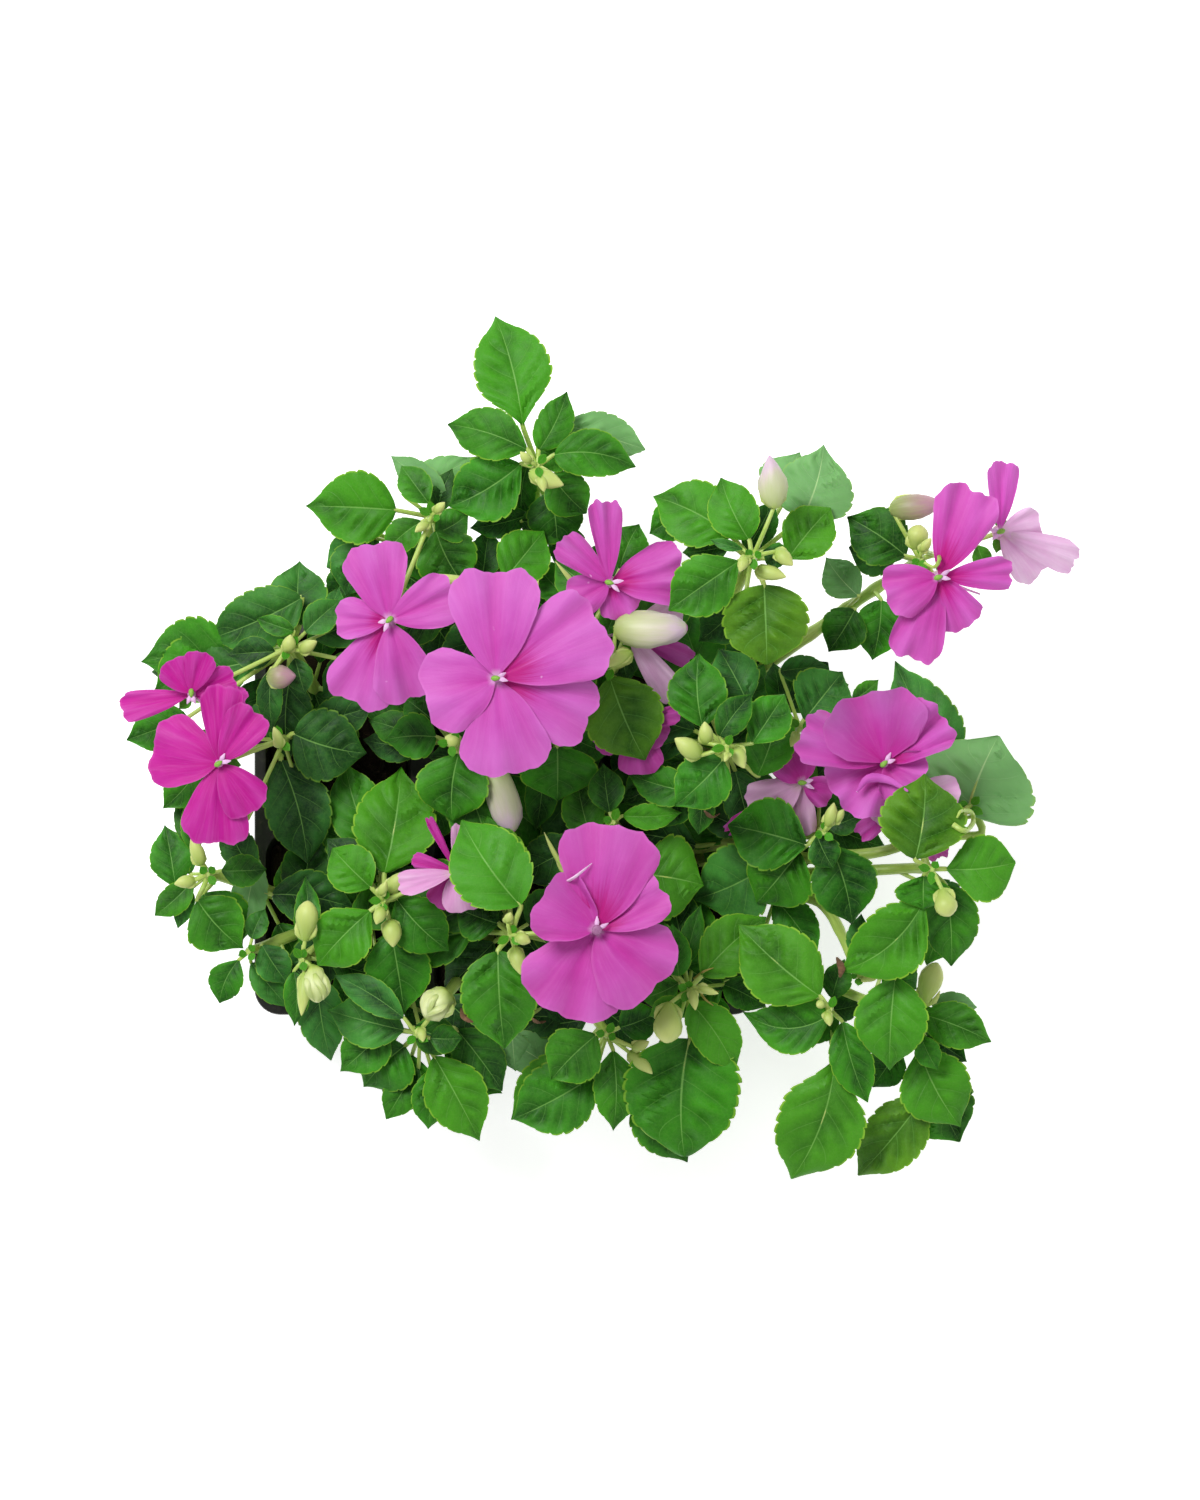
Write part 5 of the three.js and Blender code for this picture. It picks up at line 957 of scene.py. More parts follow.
def shape_petal(entry, bloom, item, order):
    """The form of a petal from its row in the tables and its order from the lowest up."""
    x1, y1, width, rise, roll = entry
    dx, dy = x1 - bloom["eye"][0], y1 - bloom["eye"][1]
    reach = math.hypot(dx, dy)
    return {
        "eye": bloom["eye"], "along": (dx / reach, dy / reach), "reach": reach, "width": width,
        "half": math.asin(min(0.95, width / (PETAL_CHORD * reach))),
        "rise": rise, "roll": roll, "height": bloom["height"] + PETAL_STEP * order,
        "ruffle": 0.3 + 0.4 * chance(item, 21 + order), "phase": chance(item, 31 + order),
        "seed": item * 10 + order,
    }


def petal_surface(petal, r, t, lift, relief=0.0):
    """Points of a petal: share r of its reach, t across from -1 to 1. It is broadest near the eye."""
    opening = 1 + PETAL_OVERLAP * smoothstep(0.75, 0.15, r)
    angle = np.minimum(1.25, petal["half"] * opening) * t
    distance = petal["reach"] * r
    forward, side = distance * np.cos(angle), distance * np.sin(angle)
    z = (petal["height"] + lift + petal["rise"] * r * r + PETAL_CROWN * petal["reach"] * 4 * r * (1 - r)
         + petal["ruffle"] * r * r * wave(1.3 * t + petal["phase"]) * np.abs(t)
         + petal["roll"] * side - 0.02 * petal["reach"] * t * t * r + relief)
    return laid_out(petal["eye"], petal["along"], forward, side, z)


def curve_point(stops, share):
    """A point of a centripetal Catmull-Rom curve through the stops."""
    place = (len(stops) - 1) * share
    k = min(int(place), len(stops) - 2)
    t = place - k
    p1, p2 = stops[k], stops[k + 1]
    p0 = stops[k - 1] if k > 0 else 2 * p1 - p2
    p3 = stops[k + 2] if k + 2 < len(stops) else 2 * p2 - p1
    d0, d1, d2 = (max(np.sum((b - a) ** 2) ** 0.25, 1e-4) for a, b in ((p0, p1), (p1, p2), (p2, p3)))
    m1 = ((p1 - p0) / d0 - (p2 - p0) / (d0 + d1) + (p2 - p1) / d1) * d1
    m2 = ((p2 - p1) / d1 - (p3 - p1) / (d1 + d2) + (p3 - p2) / d2) * d1
    return p1 + m1 * t + (-3 * p1 + 3 * p2 - 2 * m1 - m2) * t * t + (2 * p1 - 2 * p2 + m1 + m2) * t ** 3


def turn_height(shoot):
    """The height at which a stem turns up to its shoot: the farther out the shoot, the higher."""
    out = plan_distance(shoot["root"], shoot["tip"]) - NEAR_SHOOT
    return shoot.get("low", LOW_ROUTE + OUTWARD_RISE * max(0, out))


def stem_route(shoot):
    """The low part of a stem: up out of the soil, out under the leaves, and to its shoot."""
    low = turn_height(shoot)
    root = shoot["root"]
    stops = [(*root, STEM["collar"]), *((x, y, low - 4) for x, y in shoot.get("via", ())),
             (*shoot["tip"], low)]
    stops = [np.array(stop, float) for stop in stops]
    bends = 2 * (len(stops) - 1)
    route = [np.array((*root, STEM["foot"]), float), stops[0]]
    for k in range(1, bends + 1):
        spot = curve_point(stops, k / bends)
        route.append(spot + (0, 0, ROUTE_ARCH * math.sin(math.pi * k / bends)))
    return route


def joint_on(route, used, target):
    """Where a stalk for a point at target leaves the stem."""
    best, best_distance = route[-1], math.inf
    stops = [*route[2:], np.array([route[-1][0], route[-1][1], max(route[-1][2], target[2])])]
    for a, b in zip(stops, stops[1:]):
        for step in range(13):
            spot = lerp(a, b, step / 12)
            away = plan_distance(spot, target)
            distance = math.hypot(away, spot[2] - (target[2] - PETIOLE_RISE * away))
            if distance < best_distance:
                best_distance, best = distance, spot
    ux, uy = plan_direction(best, target, (0, 0))
    z = best[2]
    while any(abs(other - z) < JOINT_STEP for other in used):
        z += 0.1
    return np.array([best[0] + ux * STEM["joint"], best[1] + uy * STEM["joint"], z])


# ---- leaves ---------------------------------------------------------------------------------------

# Where the points of a blade lie across it, from its left edge to its right one.
ACROSS = np.array([-1, -0.95, -0.86, -0.72, -0.56, -0.4, -0.25, -0.12, -0.045, 0,
                   0.045, 0.12, 0.25, 0.4, 0.56, 0.72, 0.86, 0.95, 1])
NARROW_ACROSS = np.array([-1, -0.85, -0.6, -0.3, -0.08, 0, 0.08, 0.3, 0.6, 0.85, 1])
NARROW_LEAF = 11                # width from which a leaf has the full number of points across
TOOTH_LENGTH = 3.6
TOOTH_STEPS = ((0.02, -0.042), (0.2, 0.0), (0.6, 0.025), (0.92, 0.028))  # place in it, standing out
MIDRIB_REACH = 0.9              # half the width of the furrow over a midrib


def leaf_rows(leaf):
    """Stations along a leaf and how far its edge stands out at each one."""
    teeth = max(4, round(0.9 * leaf["length"] / TOOTH_LENGTH))
    rows, out = [0.006, 0.03], [0.0, 0.0]
    for k in range(teeth):
        for share, stand in TOOTH_STEPS:
            rows.append(0.06 + 0.9 * (k + share) / teeth)
            out.append(stand * (0.6 + 0.8 * chance(leaf["item"], 60 + k)))
    return np.array([*rows, 0.975, 0.994]), np.array([*out, 0.0, 0.0])


def add_leaf(piece, leaf, tint):
    """A blade with teeth, soft swellings between its veins and a wavy edge. Tint: lightness, coolness and
    yellowness. Painted shade of its swellings, its midrib furrow and its roll goes into its lightness."""
    rows, out = leaf_rows(leaf)
    across = NARROW_ACROSS if leaf["width"] < NARROW_LEAF else ACROSS
    item, s, t = leaf["item"], rows[:, None], across[None, :]
    side = np.abs(t)
    half = leaf_half(leaf, s)
    phase = chance(item, 8)
    row = (s - VEIN_SWEEP * side ** VEIN_BEND) * VEIN_PAIRS + phase + 0.35 * (t > 0)
    puff = 1.5 * np.sin(math.pi * row) ** 2 - 0.8
    puff = puff * (0.55 + 0.45 * wave(1.3 * s + 0.8 * t + chance(item, 15)))
    fade = ((1 - side ** 3) * smoothstep(0.0, 0.18, s) * smoothstep(1.0, 0.75, s)
            * smoothstep(0.0, 0.25, side))
    furrow = np.exp(-(side * half / MIDRIB_REACH) ** 2)
    sway = wave(0.9 * s + chance(item, 14) + 0.4 * t)
    relief = 0.058 * leaf["width"] * puff * fade * (0.6 + 0.8 * chance(item, 13))
    relief = relief - 0.4 * furrow * smoothstep(1.0, 0.6, s)
    relief = relief + 0.05 * half * sway
    relief = relief + 0.14 * side ** 8 * wave(3.3 * s + leaf["phase"] + 0.5 * (t > 0))
    upper = leaf_surface(leaf, s, t, 1 + out[:, None] * side ** 6, relief).reshape(-1, 3)
    thickness = (0.3 + 0.35 * furrow).reshape(-1, 1)
    lower = upper - thickness * np.array([0, 0, 1.0])
    tone = np.empty((2 * len(upper), 4))
    tone[:] = (phase, *tint)
    # Painted light and shade of the relief: darker in the hollows between the swellings and along the midrib,
    # lighter where the blade waves up and on the side that the roll lifts.
    relief_shade = 0.24 * puff * fade - 0.14 * np.exp(-(side * half / (2 * MIDRIB_REACH)) ** 2)
    relief_shade = relief_shade + 0.5 * leaf["roll"] * np.sign(t) + 0.16 * sway
    tone[:, 1] = np.clip(tint[0] + np.tile(relief_shade.ravel(), 2), 0, 1)
    add_blade(piece, s, t, upper, lower, tone,
              ("leaf_back", "leaf") if leaf["back"] else ("leaf", "leaf_back"))


def leaf_tint(item, shade):
    """Lightness, coolness and yellowness for the letter of a leaf, each a little off by chance."""
    light, cool, yellow = SHADE_TINTS[shade]
    off = [chance(item, use) - 0.5 for use in (16, 17, 18)]
    return (min(1, max(0, light + 0.22 * off[0])), min(1, max(0, cool + 0.16 * off[1])),
            min(1, max(0, yellow + 0.2 * off[2])))


def add_petiole(piece, leaf, joint):
    """A grooved stalk from the stem to the blade that runs on under it as the midrib."""
    foot, *under = [leaf_surface(leaf, np.array(s), np.array(0.0)) - (0, 0, drop)
                    for s, drop in ((0.0, 0.8), (0.1, 1.35), (0.4, 1.15), (0.75, 0.8))]
    middle = lerp(joint, foot, 0.5)
    middle[2] += 0.06 * np.linalg.norm(foot - joint) * (1 if foot[2] > joint[2] - 3 else 2)
    path = smooth_path([joint, middle, foot, *under], 4)
    size = min(1.0, 0.45 + leaf["width"] / 36)
    radii = np.interp(np.arange(len(path)), [0, 2, 8, 12, 20], np.array([1.2, 0.85, 0.8, 0.5, 0.16]) * size)
    add_tube(piece, path, radii, 7, (chance(leaf["item"], 12), 0.1, 0, 0), "stem", 0.85)


# ---- petals and blooms ----------------------------------------------------------------------------

# Shares of a petal's reach that its rows of points lie at, and its rim: how far across, how far out.
PETAL_ROWS = np.array([0.02, 0.07, 0.14, 0.22, 0.31, 0.41, 0.51, 0.61, 0.71, 0.8, 0.88, 0.94, 0.98, 1.0])
PETAL_ACROSS = 29
PETAL_OVERLAP = 0.34            # how much wider a petal opens near the eye than at its rim
PETAL_RIM = ((0, 0.975), (0.2, 1.0), (0.42, 1.025), (0.7, 0.97), (0.86, 0.89), (0.95, 0.82), (1, 0.72))
NARROW_RIM = ((0, 0.985), (0.25, 1.01), (0.5, 1.0), (0.75, 0.93), (0.9, 0.83), (1, 0.64))
NARROW_PETAL = 18.5             # width up to which a petal has the narrow rim
LOOK_PATCH = {"m": 0.0, "p": 1.0, "d": 0.25, "w": 0.0}     # how much of the dark patch it shows
NO_PALE_BASE = 0.01             # least share of its length that a petal's pale base takes up
CURL_START = 0.62               # share of a petal's half width from which a curled edge turns up


def add_petal(piece, petal, lift, look, colours, curl):
    """A soft blade. Colours: how dark its pink is, how much darker near the eye (its deeper centre, and
    painted shade in its cup), its pale base in millimetres and its ruffles; curl: how far its left or right
    edge turns up. Painted shade of its folds, ruffles and creases goes into its deepness."""
    deep, core_and_cup_shade, base, waves = colours
    t = np.linspace(-1, 1, PETAL_ACROSS)[None, :]
    share = PETAL_ROWS[:, None]
    seed = petal["seed"]
    rim = np.interp(np.abs(t), *zip(*(NARROW_RIM if petal["width"] < NARROW_PETAL else PETAL_RIM)))
    rim = rim + 0.016 * wave(1.1 * t + chance(seed, 51)) + (0.004 + 0.008 * waves) * wave(
        2.6 * t + chance(seed, 52)) + 0.004 * wave(5.3 * t + chance(seed, 59))
    r = share * rim
    small = min(1.0, petal["width"] / 18)
    fold = (0.7 * wave(0.75 * t + 0.35 * r + chance(seed, 53))
            + 0.25 * wave(1.9 * t - 0.5 * r + chance(seed, 54)))
    crease = (-0.35 * np.exp(-((t + 0.12 * (chance(seed, 57) - 0.5)) / 0.13) ** 2)
              * smoothstep(0.0, 0.25, r) * smoothstep(1.0, 0.45, r))
    ruffle = waves * wave(1.5 * t + chance(seed, 55)) * share ** 4
    turned = smoothstep(CURL_START, 1.0, t * np.sign(curl)) * smoothstep(0.15, 0.5, r)
    relief = small * (fold * smoothstep(0.1, 0.8, r) + crease + ruffle) + abs(curl) * turned
    # Painted shade: deeper in the hollows of the folds, the ruffles and the crease, and towards the eye,
    # where the flower is deeper in colour and its cup lies in shade.
    shade = -0.5 * fold - 0.5 * ruffle - 0.9 * crease + core_and_cup_shade * smoothstep(0.8, 0.1, r)
    streaks = np.cos(2 * math.pi * (1.4 * t + 0.6 * r + chance(seed, 58)))
    shade = shade + 0.2 * streaks * smoothstep(0.2, 0.9, r)
    upper = petal_surface(petal, r, t * (1 - 0.12 * turned * (curl != 0)), lift, relief).reshape(-1, 3)
    thickness = 0.2 + 0.16 * (1 - np.broadcast_to(share, r.shape).reshape(-1, 1))
    lower = upper - thickness * np.array([0, 0, 1.0])
    tone = np.empty((2 * len(upper), 4))
    tone[:] = (chance(seed, 56), LOOK_PATCH[look], deep, max(NO_PALE_BASE, base / petal["reach"]))
    tone[:, 2] = np.clip(deep + 0.26 * np.tile(shade.ravel(), 2), 0, 1.3)
    add_blade(piece, share, t, upper, lower, tone,
              ("petal_back", "petal") if look == "w" else ("petal", "petal_back"))


def add_eye(piece, bloom, lift):
    """The throat, the green ovary with its pale filaments, a curved spur and the two sepals beneath."""
    x, y = bloom["eye"]
    z = bloom["height"] + lift
    top = z + PETAL_STEP * len(bloom["petals"])
    item = ITEMS["eye"] + BLOOMS.index(bloom)
    throat = ((0, 1.9), (0.8, 1.6), (top - z, 1.0), (top - z + 0.4, 0.8), (top - z + 0.6, 0.4))
    add_lathe(piece, (x, y, z - 1.2), (0, 0, 1), throat, 14, (chance(item, 3), 0.0, 0.5, 1.0), "petal")
    marked = [petal for petal, look in zip(bloom["petals"], bloom["looks"]) if look == "p"]
    turn = 2 * math.pi * chance(item, 4)
    if marked:
        turn = math.atan2(sum(petal[1] - y for petal in marked), sum(petal[0] - x for petal in marked))
    ux, uy = math.cos(turn), math.sin(turn)
    if bloom["name"] in DUSKY_EYES:
        cap = ((0, 1.0), (0.3, 1.55), (0.8, 1.6), (1.1, 1.3), (1.2, 0.5))
        add_lathe(piece, (x, y, top - 0.3), (0.15, -0.1, 1), cap, 14, (chance(item, 5), 1.0, 0, 0), "eye")
    else:
        ovary = ((0, 0.2), (0.3, 0.6), (0.9, 0.85), (1.7, 0.8), (2.4, 0.5), (2.8, 0.15))
        add_lathe(piece, (x - 1.6 * ux, y - 1.6 * uy, top - 0.2), (ux, uy, 0.25), ovary, 12,
                  (chance(item, 5), 0.0, 0, 0), "eye")
    for k, spread in enumerate((-0.42, 0.42)):
        way = turn + spread + 0.3 * (chance(item, 6 + k) - 0.5)
        dx, dy = math.cos(way), math.sin(way)
        reach = 2.8 + 1.0 * chance(item, 9 + k)
        start = np.array([x + 0.4 * dx, y + 0.4 * dy, top - 0.1])
        add_rod(piece, [start, start + (0.5 * reach * dx, 0.5 * reach * dy, 0.35),
                        start + (reach * dx, reach * dy, 0.1)], (0.35, 0.6, 0.75, 0.5, 0.15),
                (chance(item, 12 + k), 0.5, 0, 0), "eye", flat=0.45)
    turn = 2 * math.pi * chance(item, 14)
    dx, dy = math.cos(turn), math.sin(turn)
    spur = [(x + out * dx, y + out * dy, z - drop)
            for out, drop in ((0, 0.5), (0.5, 5), (3, 10), (9, 13.5), (14, 12.5))]
    add_rod(piece, spur, (2.4, 1.3, 0.8, 0.55, 0.4, 0.28), (chance(item, 15), 0.3, 0.6, 0),
            "petal_back", sides=8)
    for way in (1, -1):
        sx, sy = -dy * way, dx * way
        sepal = (x + 1.2 * sx, y + 1.2 * sy, x + 6.4 * sx, y + 6.4 * sy, 3.6, 0, 0)
        add_small_blade(piece, shape_leaf(sepal, z - 2.8, ITEMS["sepal"] + 2 * item + way))


def add_small_blade(piece, leaf):
    """A sepal or the first leaf of a growing tip: a small folded blade without teeth."""
    rows = np.array([0.02, 0.12, 0.3, 0.5, 0.7, 0.88, 0.99])
    across = np.array([-1, -0.55, 0, 0.55, 1])
    s, t = rows[:, None], across[None, :]
    upper = leaf_surface(leaf, s, t).reshape(-1, 3)
    points = np.concatenate([upper, upper - (0, 0, 0.3)])
    tone = (chance(leaf["item"], 8), *leaf_tint(leaf["item"], "b"))
    piece.add(points, blade_faces(len(rows), len(across)), blade_uv(s, t), tone, "leaf")


# ---- buds and stalks ------------------------------------------------------------------------------

# Profiles of a bud: (share of its length, share of its width).
BUD_PROFILE = ((0, 0.42), (0.07, 0.62), (0.2, 0.88), (0.38, 1.0), (0.55, 0.95), (0.72, 0.74),
               (0.87, 0.42), (0.96, 0.2), (1.0, 0.05))
ROUND_PROFILE = ((0, 0.3), (0.08, 0.42), (0.22, 0.6), (0.38, 0.86), (0.55, 1.0), (0.72, 0.96), (0.86, 0.72),
                 (0.95, 0.42), (1.0, 0.12))
CLOSED_PROFILE = ((0, 0.4), (0.05, 0.62), (0.14, 0.86), (0.3, 0.98), (0.5, 1.0), (0.7, 0.93), (0.84, 0.76),
                  (0.92, 0.5), (0.97, 0.32), (1.0, 0.12))
ROUND_WIDTH = 6.4               # from this width on, a green bud is round
FULL_WIDTH = 9                  # from this width on, a closed flower is blunt
GREEN, CLOSED, DUSKY, LOOSE = range(4)
BUD_TONES = {GREEN: 0, CLOSED: 1, DUSKY: 0.5, LOOSE: 0.75}


def bud_profile(kind, width):
    if kind == LOOSE or kind == CLOSED and width > FULL_WIDTH:
        return CLOSED_PROFILE
    return ROUND_PROFILE if kind == GREEN and width > ROUND_WIDTH else BUD_PROFILE


def add_bud(piece, entry, z, joint, item):
    """A bud or closed flower on a curved stalk, with two small sepals at its foot."""
    x0, y0, x1, y1, width, _, kind = entry
    foot, tip = np.array([x0, y0, z]), np.array([x1, y1, z + BUD_RISE])
    axis = tip - foot
    length = np.linalg.norm(axis)
    axis = axis / length
    across = np.array([-axis[1], axis[0], 0])
    bend = 0.08 * length * (chance(item, 1) - 0.5)
    shares, radii = np.array(bud_profile(kind, width)).T
    sides = 24 if kind in (CLOSED, LOOSE) else 16
    path = foot + shares[:, None] * axis * length + (bend * 4 * shares * (1 - shares))[:, None] * across
    points, faces = tube(path, np.maximum(0.5 * width * radii, 0.1), sides, 0.94)
    turn = np.tile(np.arange(sides) * 2 * math.pi / sides, len(path))
    place = np.repeat(shares, sides)
    crumple = 0 * place
    if kind == CLOSED:
        lap = (turn / math.pi + 0.9 * place + chance(item, 6)) % 1
        crumple = 0.2 * (lap ** 2 - 0.4) * np.sqrt(np.sin(math.pi * place).clip(0))
    elif kind == LOOSE:
        crumple = (0.13 * np.sin(3 * turn + 7 * place + 6 * chance(item, 6)) * np.sin(math.pi * place)
                   + 0.08 * np.sin(5 * turn - 11 * place))
    points = points + crumple[:, None] * (points - np.repeat(path, sides, axis=0))
    piece.add(points, faces, tube_uv(len(path), sides), (chance(item, 2), BUD_TONES[kind], 0, 0), "bud")
    for k in range(5 if kind == LOOSE else 0):
        turn = 0.4 + 0.56 * k * math.pi / 2
        out = 0.5 * width * (math.cos(turn) * across + np.array([0, 0, math.sin(turn)]))
        skew = 0.5 * width * (chance(item, 20 + k) - 0.5) * across
        add_rod(piece, [foot + 0.08 * axis * length + 0.5 * out, foot + 0.4 * axis * length + out,
                        foot + 0.72 * axis * length + 0.9 * out + skew,
                        foot + 0.95 * axis * length + 0.3 * out + skew],
                (0.3, 0.9, 1.3, 1.2, 0.8, 0.2), (chance(item, 30 + k), 0.75, 0, 0), "bud", 3, 7, 0.5)
    for way in (1, -1):
        swell = 0.36 * width
        side = across * way
        sepal = [foot - 0.2 * axis, foot + 0.16 * axis * length + side * swell,
                 foot + 0.42 * axis * length + side * swell * 1.25]
        add_tube(piece, smooth_path(sepal, 2), (0.5, 0.75, 0.9, 0.6, 0.15), 6,
                 (chance(item, 3), 0, 0, 0), "bud", 0.7)
    middle = lerp(joint, foot, 0.55) + (0, 0, 0.14 * np.linalg.norm(foot - joint))
    add_tube(piece, smooth_path([joint, middle, foot + 0.3 * axis], 5), np.linspace(0.75, 0.6, 11), 7,
             (chance(item, 4), 0.15, 0, 0), "stem")


def add_stalk(piece, joint, end, item):
    """The stalk of a bloom: out of the stem and upright at its end."""
    middle = lerp(joint, end, 0.5) + (0, 0, -0.05 * np.linalg.norm(end - joint))
    path = smooth_path([joint, middle, end - (0, 0, 4), end], 5)
    radii = np.interp(np.linspace(0, 1, len(path)), [0, 0.1, 0.85, 1], [1.1, 0.75, 0.72, 1.0])
    add_tube(piece, path, radii, 8, (chance(item, 5), 0.2, 0, 0), "stem")


def stem_path(route, top):
    """A stem's line from the soil to its shoot, with the bends of its route eased."""
    tip = np.array([route[-1][0], route[-1][1], top])
    line = np.array([*route, lerp(route[-1], tip, 0.5), tip])
    for _ in range(3):
        cut = np.stack([lerp(line[:-1], line[1:], 0.25), lerp(line[:-1], line[1:], 0.75)], 1)
        line = np.concatenate([line[:1], cut.reshape(-1, 3), line[-1:]])
    steps = steps_along(line)
    places = np.linspace(0, steps[-1], max(12, int(steps[-1] / 2)))
    return np.stack([np.interp(places, steps, line[:, axis]) for axis in range(3)], 1)


def add_stem(piece, path, joints, item):
    """A juicy stem that tapers, with swollen knees where its stalks leave it."""
    steps = steps_along(path)
    share = steps / steps[-1]
    sides, thick, thin = 12, STEM["base_radius"], STEM["tip_radius"]
    radii = np.interp(share, [0, 0.3, 0.9, 1], [thick * 1.15, thick, thin, 0.7])
    knees = [28 * (k + 1) + 8 * chance(item, 40 + k) for k in range(int(steps[-1] / 30))]
    knees += [steps[np.argmin(np.linalg.norm(path - joint, axis=1))] for joint in joints]
    swell = sum((0.16 * np.exp(-((steps - knee) / 2.2) ** 2) for knee in knees), np.zeros(len(path)))
    points, faces = tube(path, radii * (1 + np.minimum(swell, 0.3)), sides)
    redness = np.repeat(np.clip(0.6 - share * 1.3 + np.minimum(swell, 0.2) * 2, 0, 0.9), sides)
    tone = np.stack([np.full(len(points), chance(item, 7)), redness, 0 * redness, 0 * redness], 1)
    uv = tube_uv(len(path), sides)
    uv[:, 1] = np.repeat(steps / 40, sides)
    piece.add(points, faces, uv, tone, "stem")


def add_extra(piece, room, material, tone, lift, radii, flat, stops):
    """A small thing that lies on the leaves: a rod along stops in plan, lifted off what is below it."""
    path = []
    for x, y in stops:
        i, j = room.cell_of(np.array([[x, y]]))
        path.append((x, y, max(room.roof[j, i][0], LOWEST_LEAF) + lift))
    heights = np.array([point[2] for point in path])
    even = np.maximum(heights, heights.mean())
    stops = [(x, y, z) for (x, y, _), z in zip(path, even)]
    add_rod(piece, stops, radii, (*tone, NO_PALE_BASE), material, flat=flat)


# ---- pack and soil --------------------------------------------------------------------------------

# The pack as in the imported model.
PACK = {"x0": -107, "x1": 49, "y0": -82, "y1": 39.2, "corner": 8, "rim_top": 50, "rim_thick": 1.2, "lip": 6}
CELL = {"columns": 3, "rows": 2, "wall": 1.1, "floor": 1.2, "corner": 9, "rib": 5.5, "draft": 5.5}
DRAIN_RADIUS = 4
SOIL = {"bottom": 1.5, "edge": 44, "mound": 2.2, "clods": 150, "white_share": 0.07}


def rounded_ring(cx, cy, half_x, half_y, corner, steps, z):
    """A rectangle with round corners, each in so many steps."""
    ring = []
    for sx, sy, start in ((1, 1, 0), (-1, 1, 90), (-1, -1, 180), (1, -1, 270)):
        for k in range(steps + 1):
            angle = math.radians(start + 90 * k / steps)
            ring.append((cx + sx * (half_x - corner) + corner * math.cos(angle),
                         cy + sy * (half_y - corner) + corner * math.sin(angle), z))
    return np.array(ring)


def lofted(name, rings):
    """A closed body through rings of equal count, as an object for joining and cutting."""
    piece = Piece(name)
    faces = tube_faces(len(rings), len(rings[0]))
    piece.add(np.concatenate(rings), faces, np.zeros(2), np.zeros(4), "plastic")
    return piece.build()


def combine(target, tool, operation):
    """Joins the tool to the target or cuts it out, and removes the tool."""
    change = target.modifiers.new("change", "BOOLEAN")
    change.operation = operation
    change.solver = "MANIFOLD"
    change.object = tool
    bpy.context.view_layer.update()
    graph = bpy.context.evaluated_depsgraph_get()
    mesh = bpy.data.meshes.new_from_object(target.evaluated_get(graph))
    target.modifiers.clear()
    target.data = mesh
    bpy.data.objects.remove(tool)


def cell_rings(place, half_x, half_y, steps_of):
    """Rings of a tapered cell: steps_of gives (height, inset) for each ring."""
    rings = []
    for z, inset in steps_of:
        taper = CELL["draft"] * (1 - z / PACK["rim_top"]) + inset
        rings.append(rounded_ring(*place, half_x - taper, half_y - taper, CELL["corner"] - inset, 7, z))
    return rings


def make_pack(places, half_x, half_y):
    """The pack: a rim with a lip, the cells joined to it and hollowed out, and their drain holes."""
    cx, cy = (PACK["x0"] + PACK["x1"]) / 2, (PACK["y0"] + PACK["y1"]) / 2
    span_x, span_y = (PACK["x1"] - PACK["x0"]) / 2, (PACK["y1"] - PACK["y0"]) / 2
    rim_low = PACK["rim_top"] - PACK["rim_thick"]

    def outline(inset, z):
        return rounded_ring(cx, cy, span_x - inset, span_y - inset, PACK["corner"] - inset, 9, z)

    foot = rim_low - PACK["lip"]
    top = PACK["rim_top"]
    wall, floor = CELL["wall"], CELL["floor"]
    whole = lofted("pack", [outline(0.3, foot), outline(0, foot + 0.3), outline(0, top - 0.9),
                            outline(0.25, top - 0.25), outline(0.9, top)])
    combine(whole, lofted("hollow", [outline(wall, foot - 1), outline(wall, rim_low)]), "DIFFERENCE")
    outside = ((0, 1.6), (0.5, 0.5), (1.6, 0), (top - 0.5, 0))
    for place in places:
        combine(whole, lofted("cell", cell_rings(place, half_x, half_y, outside)), "UNION")
    inside = ((floor, wall + 1.6), (floor + 1.6, wall), (top - 0.8, wall), (top - 0.2, wall - 0.25),
              (top + 0.6, wall - 0.8))
    for place in places:
        combine(whole, lofted("mouth", cell_rings(place, half_x, half_y, inside)), "DIFFERENCE")
        drain = [rounded_ring(*place, DRAIN_RADIUS, DRAIN_RADIUS, DRAIN_RADIUS - 0.01, 6, z)
                 for z in (-1, floor + 1)]
        combine(whole, lofted("drain", drain), "DIFFERENCE")
    whole.data.shade_smooth()
    whole.data.set_sharp_from_angle(angle=math.radians(35))
    return whole


